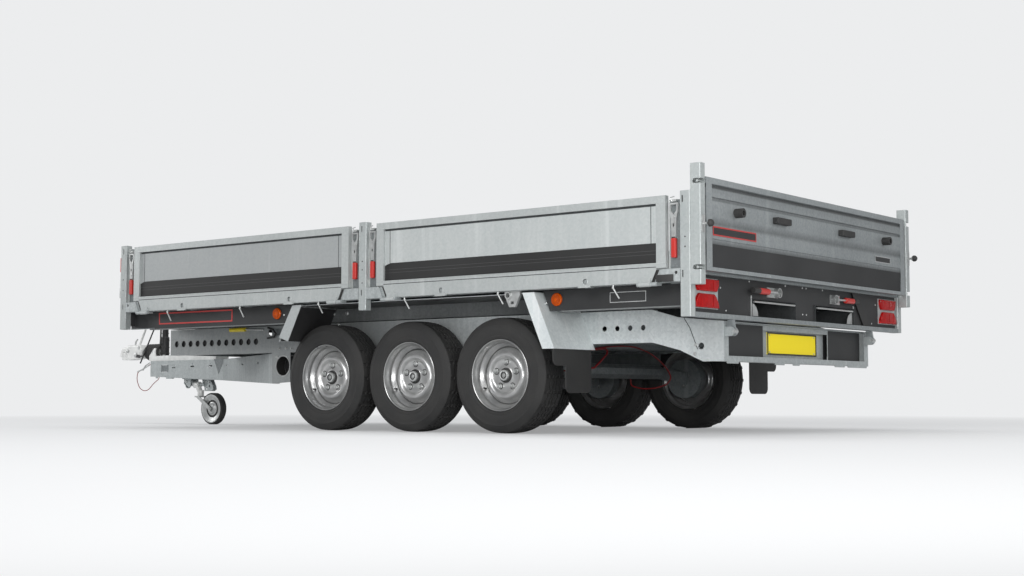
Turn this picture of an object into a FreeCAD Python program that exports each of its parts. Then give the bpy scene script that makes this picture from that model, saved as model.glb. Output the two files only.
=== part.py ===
import FreeCAD, Part
import math
import os
from FreeCAD import Vector

# Tri-axle tipping trailer, galvanised, with drop sides and a swinging tailgate.
# X runs forward to the coupling, Y to the trailer's left, Z up from the ground.
# While it is being built, x = 0 is the rear face of the bed's rear posts.

# Bed
bed_length = 4100.0
bed_width = 2250.0
rail_top = 763.0
rail_bottom = 703.0
rail_sheet = 4.0
rail_depth = 55.0
skin_clearance = 5.0
floor_sheet = 4.0
post_top = 1115.0
post_length = 54.0
post_width = 44.0
post_sheet = 4.0
post_corner = 5.0
post_slot_width = 7.0
post_slot_height = 32.0
post_slot_centres = (738.0, 1078.0)
post_slot_offsets = (40.0, 32.0, 27.0)
corner_eye_inset = 22.0
corner_eye_height = 745.0
corner_eye_radius = 8.0
rear_post_bottom = 545.0
mid_post_bottom = 645.0
front_post_bottom = 600.0
mid_post_centre = 2038.0
tall_post_length = 55.0
tall_post_bottom = 688.0
tall_post_top = 1236.0

# Drop sides
side_top = 1101.0
side_bottom = 769.0
side_thick = 26.0
side_sheet = 4.0
stile_width = 52.0
side_rim = 35.0
side_foot_rim = 24.0
side_crease = 4.0
side_crease_inset = 35.0
side_crease_bottom = 877.0
latch_bay = 76.0
side_skirt_sheet = 4.0
side_skirt_bottom = 705.0
side_skirt_taper = 28.0
side_hinge_height = 696.0
side_hinge_out = 6.0
hinge_pin_radius = 6.0
knuckle_radius = 11.0
knuckle_length = 60.0
hinge_barrel_length = 38.0
hinge_ear_length = 10.5
hinge_ear_radius = 9.5
hinge_ear_reach = 30.0
lash_shares = (0.25, 0.75)
head_hinge_height = 757.0
head_hinge_out = 12.0
head_hinge_share = 0.62
lash_hole_radius = 13.0
lash_hole_height = 727.0
lash_tongue_length = 70.0
lash_tongue_reach = 8.0
lash_tongue_drop = 8.0

# Tailgate
gate_bottom = 752.0
gate_top = 1178.0
gate_thick = 28.0
gate_back = 50.0
gate_side_gap = 15.0
gate_channel = 50.0
gate_rim = 16.0
gate_head_rail = 64.0
gate_axis_drop = 24.0
gate_foot_pin_height = 764.0
gate_slot_end = -25.0
gate_slot_radius = 11.0
gate_band_rise = 2.0
gate_panel_top = 898.0
gate_channel_low = 930.0
gate_channel_high = 1004.0
gate_channel_depth = 5.5
gate_sheet = 4.0
gate_press_depth = 5.0
gate_press_height = 1082.0
gate_press_width = 16.0
buffer_height = 1034.0
buffer_radius = 22.0
buffer_bore_radius = 12.0
round_buffer_place = 798.5
round_buffer_reach = 43.0
block_places = (373.0, -327.0)
block_corner = 6.0
buffer_reach = 30.0
block_width = 140.0
block_height = 32.0
gate_knob_height = 960.0
gate_knob_plate = 26.0
gate_knob_stem = 38.0
gate_knob_radius = 17.0

# Bed frame
subframe_bottom = 611.0
subframe_top = 700.0
subframe_width = 60.0
cross_width = 50.0
cross_count = 9
rear_sheet_x = 20.0
rear_sheet_thick = 3.0
rear_flange_height = 22.0
rear_rail_height = 22.0
rear_rail_depth = 45.0
skirt_inset = 75.0
skirt_sheet = 3.0
skirt_bottom = 600.0
skirt_lip = 6.0
skirt_lip_width = 24.0
skirt_front = 3900.0
ramp_bay_inner = 105.0
ramp_bay_outer = 548.0
ramp_bay_top = 655.0
ramp_tray_length = 1360.0
ramp_tray_sheet = 3.0
ramp_cheek_reach = 8.0

# Chassis
chassis_inset = 356.0
chassis_sheet = 4.0
chassis_flange = 50.0
chassis_top = 606.0
chassis_bottom = 447.0
chassis_front = 4050.0
chassis_rear = 40.0
rear_drop_bottom = 351.0
rear_top = 539.0
rear_slope_start = 440.0
rear_slope_end = 290.0
rear_slope_height = 564.0
rear_kick_start = 439.0
rear_kick_mid = 281.0
rear_kick_mid_height = 407.0
rear_kick_end = 154.0
front_hole_count = 12
front_hole_first = 3991.0
front_hole_pitch = 66.6
front_hole_radius = 19.5
front_hole_height = 517.0
rear_hole_count = 4
rear_hole_first = 490.0
rear_hole_pitch = 76.0
rear_hole_radius = 13.5
rear_hole_height = 520.0
corner_hole_x = 161.0
corner_hole_height = 424.0
corner_hole_radius = 16.5
corner_bracket_foot = 208.0
corner_bracket_foot_height = 425.0
corner_bracket_head = 254.0
corner_bracket_head_height = 560.0
bracket_front = 3115.0
bracket_rear = 2960.0
bracket_bottom = 265.0
cross_tube_x = 3021.0
cross_tube_height = 368.0
cross_tube_bore = 56.5
cross_tube_wall = 4.0
slot_front = 3150.0
slot_rear = 3010.0
slot_height = 570.0
slot_radius = 20.0
chassis_cross_width = 50.0
chassis_cross_bottom = 450.0
chassis_cross_top = 540.0
chassis_cross_places = (600.0, 1130.0, 2200.0, 2760.0, 3500.0, 3980.0)
carrier_width = 79.0
carrier_bottom = 375.0
carrier_rear = 1333.0
carrier_front = 2760.0
carrier_sheet = 5.0

# Rear frame
infill_x = 68.0
infill_sheet = 3.0
infill_inner = 345.0
infill_inset = 44.0
upright_width = 40.0
rear_rail_face = 26.0
rear_frame_depth = 60.0
rear_frame_sheet = 4.0
tab_drop = 10.0
tab_spans = ((630.0, 742.0), (176.0, 279.0), (18.0, 92.0), (-489.0, -372.0), (-756.0, -524.0))
plate_width = 520.0
plate_height = 111.0
plate_thick = 3.0
plate_x = 92.0
plate_bottom = 394.0
header_bottom = 510.0
pivot_x = 12.0
pivot_height = 490.0
pivot_lug_radius = 22.0
pivot_lug_thick = 8.0
pivot_lug_inset = 29.0
pivot_lug_gap = 20.0
bed_lug_thick = 10.0
pivot_pin_radius = 10.0
pivot_mouth = 12.0
pivot_play = 0.3

# Drawbar
drawbar_front = 5127.0
drawbar_bend = 4350.0
drawbar_half_width = 75.0
drawbar_top = 443.0
drawbar_front_bottom = 333.0
drawbar_bend_bottom = 300.0
drawbar_sheet = 5.0
drawbar_flange = 55.0
window_front = 5006.0
window_rear = 4928.0
window_top = 413.0
window_bottom = 363.0
slit_length = 36.0
slit_height = 9.0
slit_places = (
    (4870.0, 393.0), (4674.0, 399.0), (4483.0, 400.0), (4259.0, 398.0), (3830.0, 396.0), (3439.0, 395.0)
)
drawbar_tabs = ((5049.0, 5068.0, 319.0), (4886.0, 4954.0, 315.0))

# Coupling
housing_front = 5165.0
housing_rear = 4450.0
housing_height = 36.0
housing_half_width = 58.0
shaft_height = 508.0
collar_front = 5112.0
collar_rear = 5094.0
collar_radius = 42.0
cheek_thick = 8.0
cheek_rise = 26.0
gaiter_front = 5268.0
gaiter_radius = 47.0
gaiter_neck_radius = 30.0
gaiter_fold_count = 6
gaiter_fold_depth = 3.0
gaiter_draw = 2.0
gaiter_play = 0.5
head_nose = 5518.0
head_ball_x = 5452.0
head_ball_radius = 25.5
head_radius = 58.0
head_bottom = 456.0
head_neck_radius = 30.0
head_handle_radius = 8.0
head_half_width = 45.0
head_corner = 12.0
head_outline = (
    (66.0, -32.0), (38.0, 37.0), (-12.0, 45.0), (-27.0, 54.0), (-152.0, 54.0),
    (-174.0, 18.0), (-177.0, -12.0), (-167.0, -41.0), (-52.0, -51.0), (-17.0, -33.0),
)
head_bolts = ((5424.0, 520.0), (5330.0, 488.0))
head_bolt_radius = 11.0
head_bolt_reach = 6.0
socket_share = 0.6
handle_foot = (5352.0, 555.0)
handle_tip = (5284.0, 677.0)
lever_radius = 5.0
lever_low = (5259.0, 429.0)
lever_tip = (5112.0, 666.0)
lever_side = 62.0
lever_pin_x = 5292.0
lever_pin_height = 480.0
lever_boss = 11.0
pump_x = 5061.0
pump_radius = 29.0
pump_top = 720.0
pump_cap = 14.0
pump_shoulder = 610.0

# Jockey wheel
jockey_pivot_x = 4705.0
jockey_pivot_height = 272.0
jockey_pin_radius = 9.0
jockey_ear_front = 4800.0
jockey_ear_rear = 4606.0
jockey_ear_thick = 6.0
jockey_ear_half_width = 36.0
jockey_ear_drop = 24.0
jockey_cheek_outline = (
    (4806.0, 318.9), (4737.0, 316.0), (4737.0, 264.0), (4750.0, 253.0), (4772.0, 266.0), (4800.0, 296.0),
)
jockey_stop_outline = (
    (4612.0, 310.8), (4552.0, 308.2), (4524.0, 262.0), (4520.0, 240.0), (4540.0, 228.0), (4612.0, 228.0),
)
jockey_stop_inner = 12.0
jockey_stop_thick = 4.0
jockey_stop_hole = 8.0
jockey_stop_hole_places = ((4560.0, 262.0), (4590.0, 246.0))
jockey_arm_radius = 22.0
jockey_swivel_x = 4668.0
jockey_arm_bottom = 196.0
jockey_wheel_x = 4530.0
jockey_wheel_radius = 108.0
jockey_wheel_width = 50.0
jockey_boss_radius = 28.0
jockey_dish = 12.0
jockey_hub_radius = 94.0
jockey_fork_thick = 5.0
jockey_fork_gap = 6.0
jockey_fork_width = 44.0
jockey_crown_height = 10.0
jockey_axle_radius = 8.0

# Cables
cable_radius = 4.0
breakaway_radius = 2.5
bend_share = 0.45
brake_route = (
    (1155.0, 374.0, 449.5), (1155.0, 374.0, 424.0), (1122.0, 303.0, 441.0), (1122.0, 181.0, 455.0),
    (1122.0, 37.0, 465.0), (1122.0, -111.0, 463.0), (1125.0, -263.0, 433.0), (1125.0, -366.0, 390.0),
    (1125.0, -450.0, 340.0), (1130.0, -492.0, 295.0), (1150.0, -480.0, 258.0), (1205.0, -445.0, 236.0),
    (1290.0, -430.0, 232.0), (1366.0, -430.0, 250.0), (1371.0, -430.0, 290.7),
)
breakaway_route = (
    (5127.3, 72.4, 417.0), (5140.0, 72.4, 417.0), (5200.0, 68.0, 396.0), (5290.0, 60.0, 366.0),
    (5298.0, 60.0, 310.0),
    (5266.0, 60.0, 252.0), (5215.0, 60.0, 230.0), (5165.0, 60.0, 238.0), (5108.0, 60.0, 284.0),
    (5052.0, 60.0, 314.0), (5048.0, 60.0, 329.0),
)

# Road wheels and axles
axle_places = (1221.0, 1839.0, 2460.0)
axle_names = ("rear", "middle", "front")
wheel_radius = 294.0
wheel_offset = 124.0
tyre_half_width = 93.0
tread_half_width = 76.0
shoulder_radius = 262.0
tyre_seat_half_width = 79.0
rim_radius = 182.5
rim_half_width = 81.0
rim_gap = 0.4
rim_lip = 6.0
dish_start_radius = 142.0
dish_start = 16.0
dish_ring_radius = 100.0
dish_ring = 44.0
hub_face_radius = 58.0
hub_face = 24.0
cap_radius = 34.0
cap_reach = 62.0
disc_back = 8.0
barrel_back_radius = 172.0
beam_offset = 150.0
beam_height = 333.0
beam_across = 84.0
beam_inset = 49.0
arm_inset = 41.0
arm_thick = 26.0
arm_width = 70.0
stub_radius = 22.0
drum_radius = 115.0
drum_offset = 3.0
drum_depth = 62.0
hub_radius = 60.0
hub_gap = 0.4

# Mudguards
guard_inset = 15.0
guard_top = 692.0
guard_sheet = 3.0
guard_front_top = 2587.0
guard_front_foot = 2692.0
guard_front_bottom = 493.0
guard_rear_top = 897.0
guard_rear_foot = 774.0
guard_rear_bottom = 416.0
guard_flange = 72.0
guard_bed_gap = 6.0
guard_hook_gap = 36.0
flap_x = 790.0
flap_thick = 6.0
flap_bottom = 203.0
flap_shoulder = 335.0
flap_inset = 21.0
flap_width = 210.0
flap_corner = 35.0

# Tipping ram
ram_cross_member = 3
ram_beam_rear_gap = 150.0
ram_beam_front_gap = 70.0
ram_base_height = 270.0
ram_eye_height = 662.0
ram_radii = (72.0, 60.0, 50.0, 40.0, 30.0)
ram_wall_gap = 1.5
ram_tube_bottom = 236.0
ram_tube_top = 606.0
ram_collar_step = 6.0
ram_trunnion_radius = 16.0
ram_trunnion_play = 0.3
cradle_thick = 12.0
cradle_gap = 6.0
cradle_width = 90.0
cradle_drop = 40.0
eye_thick = 60.0
eye_radius = 24.0
eye_bracket_thick = 10.0
eye_bracket_gap = 6.0

# Lamps, hooks and latches
lamp_inner_inset = 297.0
lamp_outer_inset = 79.0
lamp_depth = 22.0
lamp_taper = 26.0
lamp_bevel = 8.0
lamp_heights = ((592.0, 650.0), (656.0, 720.0))
marker_radius = 32.0
marker_depth = 14.0
marker_bevel = 4.0
marker_height = 655.0
marker_places = (2770.0, 800.0)
hook_places = (3655.0, 3010.0, 2372.0, 1735.0, 1110.0, 418.0)
hook_radius = 6.0
hook_tip_radius = 4.0
hook_knee = 12.0
hook_drop = 62.0
hook_lean = 34.0
hook_inset = 22.0
casting_place = 1037.0
casting_length = 96.0
casting_height = 78.0
casting_thick = 14.0
casting_cheek = 20.0
casting_foot = 38.0
casting_eye_radius = 12.0
casting_collar_radius = 18.0
latch_length = 46.0
latch_thick = 14.0
latch_top = 1064.0
latch_loop_height = 70.0
latch_waist = 30.0
latch_stem_share = 0.73
latch_bar = 8.0
latch_slot = 8.0
front_latch_width = 34.0
front_latch_rise = -19.0
latch_gap = 5.0
grip_top = 903.0
grip_bottom = 813.0
grip_thick = 20.0
grip_length = 26.0
grip_corner = 6.0
ramp_latch_height = 692.0
ramp_latch_inner = 283.0
ramp_latch_length = 130.0
ramp_latch_radius = 24.0
ramp_latch_sheet = 4.0
ramp_grip_length = 95.0
ramp_grip_radius = 15.0

overrun = 20.0

# Worked out from the sizes above
bed_half = bed_width / 2
chassis_half_width = bed_half - chassis_inset
skirt_half_width = bed_half - skirt_inset
guard_half_width = bed_half - guard_inset
lamp_inner = bed_half - lamp_inner_inset
lamp_outer = bed_half - lamp_outer_inset
infill_outer = chassis_half_width - infill_inset
pivot_lug_centre = chassis_half_width - pivot_lug_inset
beam_half_length = chassis_half_width - beam_inset
arm_inner = chassis_half_width - arm_inset
drum_inner = chassis_half_width + drum_offset
wheel_centre_y = chassis_half_width + wheel_offset
flap_inner = chassis_half_width + flap_inset
flap_outer = flap_inner + flap_width
flap_strip_outer = guard_half_width - guard_sheet * 2
gate_axis_height = gate_top - gate_axis_drop
mid_post_rear = mid_post_centre - post_length / 2
post_starts = (0, mid_post_rear, bed_length - post_length)
post_bottoms = (rear_post_bottom, mid_post_bottom, front_post_bottom)
post_slot_places = [start + offset for start, offset in zip(post_starts, post_slot_offsets)]
cross_first = rear_rail_depth + cross_width
cross_pitch = (bed_length - post_length - cross_width * 2 - cross_first) / (cross_count - 1)
ram_x = cross_first + ram_cross_member * cross_pitch + cross_width / 2
rear_reach = tall_post_length + gate_knob_stem + gate_knob_radius
shift = (head_nose - rear_reach) / 2
floor_top = rail_top + floor_sheet
across = Vector(0, 1, 0)
along = Vector(1, 0, 0)
upward = Vector(0, 0, 1)


def block(x0, x1, y0, y1, z0, z1):
    return Part.makeBox(x1 - x0, y1 - y0, z1 - z0, Vector(x0, y0, z0))


def rod(start, end, radius):
    run = end - start
    return Part.makeCylinder(radius, run.Length, start, run)


def prism(points, travel):
    """A flat outline of 3-D points, pushed along travel."""
    return Part.Face(Part.makePolygon(points + points[:1])).extrude(travel)


def side_plate(outline, y0, y1):
    """An outline of (x, z) pairs made a plate between two planes across the trailer."""
    return prism([Vector(x, y0, z) for x, z in outline], Vector(0, y1 - y0, 0))


def cross_plate(outline, x0, x1):
    """An outline of (y, z) pairs made a plate between two planes along the trailer."""
    return prism([Vector(x0, y, z) for y, z in outline], Vector(x1 - x0, 0, 0))


def join(shapes):
    whole = shapes[0]
    if len(shapes) > 1:
        whole = whole.fuse(shapes[1:])
    return whole.removeSplitter()


def less(shape, tools):
    return shape.cut(tools)


def opposite(shape):
    return shape.mirror(Vector(0, 0, 0), across)


def both_sides(shapes):
    return shapes + [opposite(shape) for shape in shapes]


def save(name, shapes):
    solids = []
    for shape in shapes:
        moved = shape.copy()
        moved.translate(Vector(-shift, 0, 0))
        solids += moved.Solids
    whole = solids[0] if len(solids) == 1 else Part.makeCompound(solids)
    whole.exportStep("parts/" + name + ".step")


def revolve(profile, centre, axis):
    """Turn (radius, distance along the axis) pairs about a horizontal axis across the trailer."""
    points = [centre + Vector(0, axis * reach, radius) for radius, reach in profile]
    face = Part.Face(Part.makePolygon(points + points[:1]))
    return face.revolve(centre, across, 360)


def corner_bracket():
    """A plate over the rail's rear end with a slanted front edge, round the corner hole."""
    outline = [
        (chassis_rear, rear_top),
        (chassis_rear, rear_drop_bottom),
        (rear_kick_end, rear_drop_bottom),
        (corner_bracket_foot, corner_bracket_foot_height),
        (corner_bracket_head, corner_bracket_head_height),
    ]
    return side_plate(outline, chassis_half_width, chassis_half_width + rear_frame_sheet)


def chassis_rail():
    outline = [
        (chassis_front, chassis_bottom),
        (chassis_front, chassis_top),
        (rear_slope_start, chassis_top),
        (rear_slope_end, rear_slope_height),
        (chassis_rear, rear_top),
        (chassis_rear, rear_drop_bottom),
        (rear_kick_end, rear_drop_bottom),
        (rear_kick_mid, rear_kick_mid_height),
        (rear_kick_start, chassis_bottom),
        (bracket_rear, chassis_bottom),
        (bracket_rear, bracket_bottom + post_sheet * 2),
        (bracket_front, bracket_bottom),
        (bracket_front, chassis_bottom),
    ]
    inner = chassis_half_width - chassis_sheet
    web = side_plate(outline, inner, chassis_half_width)
    flange_inner = chassis_half_width - chassis_flange
    top = block(
        rear_slope_start, chassis_front, flange_inner, inner, chassis_top - chassis_sheet, chassis_top
    )
    foot_rear = block(
        rear_kick_start, bracket_rear, flange_inner, inner, chassis_bottom, chassis_bottom + chassis_sheet
    )
    foot_front = block(
        bracket_front, chassis_front, flange_inner, inner, chassis_bottom, chassis_bottom + chassis_sheet
    )
    rail = join([web, top, foot_rear, foot_front, corner_bracket()])

    def hole(x, z, radius):
        return rod(Vector(x, inner - overrun, z), Vector(x, chassis_half_width + overrun, z), radius)

    holes = [
        hole(front_hole_first - step * front_hole_pitch, front_hole_height, front_hole_radius)
        for step in range(front_hole_count)
    ]
    holes += [
        hole(rear_hole_first + step * rear_hole_pitch, rear_hole_height, rear_hole_radius)
        for step in range(rear_hole_count)
    ]
    holes.append(hole(corner_hole_x, corner_hole_height, corner_hole_radius))
    holes.append(hole(cross_tube_x, cross_tube_height, cross_tube_bore))
    holes += [
        hole(slot_front - slot_radius, slot_height, slot_radius),
        hole(slot_rear, slot_height, slot_radius)
    ]
    holes.append(
        block(
            slot_rear,
            slot_front - slot_radius,
            inner - overrun,
            chassis_half_width + overrun,
            slot_height - slot_radius,
            slot_height + slot_radius,
        )
    )
    return less(rail, holes)


def chassis_cross(x):
    inner = chassis_half_width - chassis_sheet
    outer_box = block(x, x + chassis_cross_width, -inner, inner, chassis_cross_bottom, chassis_cross_top)
    hollow = block(
        x + chassis_sheet,
        x + chassis_cross_width + overrun,
        -inner - overrun,
        inner + overrun,
        chassis_cross_bottom + chassis_sheet,
        chassis_cross_top - chassis_sheet,
    )
    notch_low = block(
        x - overrun,
        x + chassis_cross_width + overrun,
        chassis_half_width - chassis_flange,
        chassis_half_width,
        chassis_cross_bottom - overrun,
        chassis_bottom + chassis_sheet,
    )
    return less(outer_box, [hollow, notch_low, opposite(notch_low)])


def cross_tube():
    inner = chassis_half_width - chassis_sheet
    start = Vector(cross_tube_x, -inner, cross_tube_height)
    end = Vector(cross_tube_x, inner, cross_tube_height)
    return less(rod(start, end, cross_tube_bore + cross_tube_wall), [rod(start, end, cross_tube_bore)])


def axle_carrier():
    outer = chassis_half_width
    inner = outer - carrier_width
    beam = block(carrier_rear, carrier_front, inner, outer, carrier_bottom, chassis_bottom)
    recess = block(
        carrier_rear - overrun,
        carrier_front + overrun,
        inner + carrier_sheet,
        outer + overrun,
        carrier_bottom + carrier_sheet,
        chassis_bottom - carrier_sheet,
    )
    return less(beam, [recess])


def axle(x):
    """A torsion beam with a trailing arm, stub, hub and brake drum at each end."""
    beam_x = x + beam_offset
    half = beam_across / 2
    corner = half * math.tan(math.radians(22.5))
    outline = [
        (
            beam_x + half * sx * (corner / half if flat else 1),
            beam_height + half * sz * (1 if flat else corner / half)
        )
        for sx, sz, flat in (
            (1, 1, True), (1, 1, False), (1, -1, False), (1, -1, True),
            (-1, -1, True), (-1, -1, False), (-1, 1, False), (-1, 1, True),
        )
    ]
    beam = side_plate(outline, -beam_half_length, beam_half_length)
    pieces = [beam]
    for side in (1, -1):
        half_arm = arm_width / 2
        arm_points = [
            (beam_x + half_arm, beam_height - half_arm),
            (beam_x + half_arm, beam_height + half_arm),
            (x - half_arm, wheel_radius + half_arm),
            (x - half_arm, wheel_radius - half_arm),
        ]
        arm_outer = arm_inner + arm_thick
        low, high = sorted((side * (beam_half_length - overrun), side * (beam_half_length + overrun)))
        spindle = rod(Vector(beam_x, low, beam_height), Vector(beam_x, high, beam_height), half_arm)
        low, high = sorted((side * arm_inner, side * arm_outer))
        arm = side_plate(arm_points, low, high)
        back = wheel_centre_y + disc_back - hub_gap
        stub = rod(
            Vector(x, side * arm_inner, wheel_radius), Vector(x, side * back, wheel_radius), stub_radius
        )
        drum = rod(
            Vector(x, side * drum_inner, wheel_radius),
            Vector(x, side * (drum_inner + drum_depth), wheel_radius),
            drum_radius,
        )
        hub = rod(
            Vector(x, side * drum_inner, wheel_radius), Vector(x, side * back, wheel_radius), hub_radius
        )
        pieces += [spindle, arm, stub, drum, hub]
    return join(pieces)


def rim(x, side):
    profile = [
        (rim_radius, -rim_half_width),
        (rim_radius, rim_half_width),
        (rim_radius - rim_lip, rim_half_width),
        (dish_start_radius, dish_start),
        (dish_ring_radius, dish_ring),
        (hub_face_radius, hub_face),
        (cap_radius, hub_face),
        (cap_radius, cap_reach),
        (0, cap_reach),
        (0, disc_back),
        (dish_start_radius, disc_back),
        (barrel_back_radius, -rim_half_width),
    ]
    return revolve(profile, Vector(x, side * wheel_centre_y, wheel_radius), side)


def tyre(x, side):
    seat = rim_radius + rim_gap
    profile = [
        (wheel_radius, -tread_half_width),
        (wheel_radius, tread_half_width),
        (shoulder_radius, tyre_half_width),
        (seat, tyre_seat_half_width),
        (seat, -tyre_seat_half_width),
        (shoulder_radius, -tyre_half_width),
    ]
    return revolve(profile, Vector(x, side * wheel_centre_y, wheel_radius), side)


def mudguard():
    """Folded sheet over three wheels, with a flange along its outer edge at each end."""
    inner = chassis_half_width
    outer = guard_half_width
    under = guard_top - guard_sheet
    sheet_outline = [
        (guard_rear_foot, guard_rear_bottom),
        (guard_rear_top, guard_top),
        (guard_front_top, guard_top),
        (guard_front_foot, guard_front_bottom),
        (guard_front_foot - guard_sheet, guard_front_bottom),
        (guard_front_top - guard_sheet, under),
        (guard_rear_top + guard_sheet, under),
        (guard_rear_foot + guard_sheet, guard_rear_bottom),
    ]
    sheet = side_plate(sheet_outline, inner, outer)
    front_flange = [
        (guard_front_top, guard_top),
        (guard_front_foot, guard_front_bottom + guard_sheet * 8),
        (guard_front_foot - guard_flange, guard_front_bottom),
        (guard_front_top - guard_flange, guard_top),
    ]
    rear_flange = [
        (guard_rear_top, guard_top),
        (guard_rear_foot, guard_rear_bottom),
        (guard_rear_foot + guard_flange, guard_rear_bottom),
        (guard_rear_top + guard_flange, guard_top),
    ]
    flanges = [side_plate(outline, outer - guard_sheet, outer) for outline in (front_flange, rear_flange)]
    inner_notch = block(
        guard_rear_foot, guard_front_foot, inner - overrun, inner + guard_bed_gap, chassis_top,
        guard_top + overrun
    )
    outer_notch = block(
        guard_rear_top + guard_flange,
        guard_front_top - guard_flange,
        outer - guard_hook_gap,
        outer + overrun,
        chassis_top,
        guard_top + overrun,
    )
    return less(join([sheet] + flanges), [inner_notch, outer_notch])


def mudflap():
    """A rubber flap: a full-width strip along the mudguard's foot with a narrower tongue below it."""
    outline = [
        (flap_inner, guard_rear_bottom + overrun),
        (flap_inner, flap_shoulder),
        (flap_inner, flap_shoulder),
        (flap_inner, flap_bottom),
        (flap_outer, flap_bottom),
        (flap_outer, flap_shoulder),
        (flap_strip_outer, flap_shoulder),
        (flap_strip_outer, guard_rear_bottom + overrun),
    ]
    flap = cross_plate(outline, flap_x - flap_thick, flap_x)

    def rounded(edge):
        box = edge.BoundBox
        at_foot = box.ZMax < flap_bottom + overrun
        at_shoulder = box.YMin > flap_strip_outer - overrun / 2 and box.ZMax < flap_shoulder + overrun
        return box.XLength > flap_thick / 2 and box.YLength < flap_thick and (at_foot or at_shoulder)

    flap = flap.makeFillet(flap_corner, [edge for edge in flap.Edges if rounded(edge)])
    sheet_face = side_plate(
        [
            (guard_rear_foot - overrun, guard_rear_bottom),
            (guard_rear_top - overrun, guard_top - guard_sheet),
            (guard_rear_top + guard_sheet, guard_top - guard_sheet),
            (guard_rear_foot + guard_sheet, guard_rear_bottom),
        ],
        flap_inner - overrun,
        flap_strip_outer + overrun,
    )
    return less(flap, [sheet_face])


def drawbar():
    """Two folded side members that run in from the chassis and then side by side to the coupling."""
    run = drawbar_bend - bracket_front
    slope = (chassis_half_width - drawbar_half_width) / run
    stretch = math.hypot(1, slope)

    def arm_y(x, inset):
        return drawbar_half_width + (drawbar_bend - x) * slope - inset * stretch

    def plan_solid(half_outline):
        points = half_outline + [(x, -y) for x, y in reversed(half_outline)]
        return prism([Vector(x, y, 0) for x, y in points], Vector(0, 0, chassis_top))

    def side_slab(rear, front, inset):
        rear_bottom = bracket_bottom + (rear - bracket_front) * (drawbar_bend_bottom - bracket_bottom) / run
        front_run = (front - drawbar_bend) / (drawbar_front - drawbar_bend)
        front_bottom = drawbar_bend_bottom + front_run * (drawbar_front_bottom - drawbar_bend_bottom)
        outline = [
            (rear, rear_bottom + inset),
            (drawbar_bend, drawbar_bend_bottom + inset),
            (front, front_bottom + inset),
            (front, drawbar_top - inset),
            (rear, drawbar_top - inset),
        ]
        return side_plate(outline, -bed_half, bed_half)

    crotch = drawbar_bend - drawbar_flange
    body = plan_solid([
        (crotch, arm_y(crotch, drawbar_flange)),
        (bracket_front, arm_y(bracket_front, drawbar_flange)),
        (bracket_front, chassis_half_width),
        (drawbar_bend, drawbar_half_width),
        (drawbar_front, drawbar_half_width),
    ])
    web_inside = drawbar_half_width - drawbar_sheet
    turn = drawbar_bend - drawbar_sheet * (stretch - 1) / slope
    rear_end = bracket_front - overrun
    hollow = plan_solid([
        (rear_end, arm_y(rear_end, drawbar_sheet)),
        (turn, web_inside),
        (drawbar_front + overrun, web_inside),
    ])
    body = body.common(side_slab(bracket_front, drawbar_front, 0))
    hollow = hollow.common(side_slab(rear_end, drawbar_front + overrun, drawbar_sheet))
    window = block(
        window_rear,
        window_front,
        -drawbar_half_width - overrun,
        drawbar_half_width + overrun,
        window_bottom,
        window_top,
    )
    slits = []
    for x, height in slit_places:
        middle = arm_y(min(x, drawbar_bend), 0)
        slits.append(
            block(
                x - slit_length / 2, x + slit_length / 2, middle - drawbar_sheet * 4,
                middle + drawbar_sheet * 4,
                height - slit_height / 2, height + slit_height / 2,
            )
        )
    tabs = [
        block(rear, front, web_inside, drawbar_half_width, low, drawbar_front_bottom)
        for rear, front, low in drawbar_tabs
    ]
    return join([less(body, [hollow, window] + both_sides(slits))] + both_sides(tabs))


def rear_frame():
    """The rear end frame: folded rails, uprights, stop tabs and the ears of the tipping pins."""
    outer = chassis_half_width - chassis_sheet
    front = chassis_rear + rear_frame_depth
    skin = chassis_rear + rear_frame_sheet
    pieces = [
        block(chassis_rear, front, -outer, outer, rear_drop_bottom, rear_drop_bottom + rear_frame_sheet),
        block(chassis_rear, skin, -outer, outer, rear_drop_bottom, rear_drop_bottom + rear_rail_face),
        block(chassis_rear, front, -outer, outer, rear_top - rear_frame_sheet, rear_top),
    ]
    for near, far in tab_spans:
        pieces.append(
            cross_plate(
                [
                    (near, rear_drop_bottom),
                    (near + tab_drop / 2, rear_drop_bottom - tab_drop),
                    (far - tab_drop / 2, rear_drop_bottom - tab_drop),
                    (far, rear_drop_bottom),
                ],
                chassis_rear,
                skin,
            )
        )
    upright = block(chassis_rear, skin, outer - upright_width, outer, rear_drop_bottom, rear_top)
    for edge in (1, -1):
        centre = pivot_lug_centre + edge * (pivot_lug_gap + pivot_lug_thick) / 2
        near, far = centre - pivot_lug_thick / 2, centre + pivot_lug_thick / 2
        ear = block(
            pivot_x, skin, near, far, pivot_height - pivot_lug_radius, pivot_height + pivot_lug_radius
        )
        boss = rod(Vector(pivot_x, near, pivot_height), Vector(pivot_x, far, pivot_height), pivot_lug_radius)
        mouth = block(
            pivot_x - pivot_lug_radius - overrun, pivot_x, near - overrun, far + overrun,
            pivot_height - pivot_mouth / 2, pivot_height + pivot_mouth / 2,
        )
        pieces += both_sides([less(join([ear, boss]), [mouth])])
    pieces += both_sides([upright])
    pin_start = Vector(pivot_x, pivot_lug_centre - pivot_lug_gap, pivot_height)
    pin_end = Vector(pivot_x, pivot_lug_centre + pivot_lug_gap, pivot_height)
    pieces += both_sides([rod(pin_start, pin_end, pivot_pin_radius)])
    return join(pieces)


def infill_panels():
    low = rear_drop_bottom + rear_frame_sheet
    high = rear_top - rear_frame_sheet
    panel = block(infill_x, infill_x + infill_sheet, infill_inner, infill_outer, low, high)
    return both_sides([panel])


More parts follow.
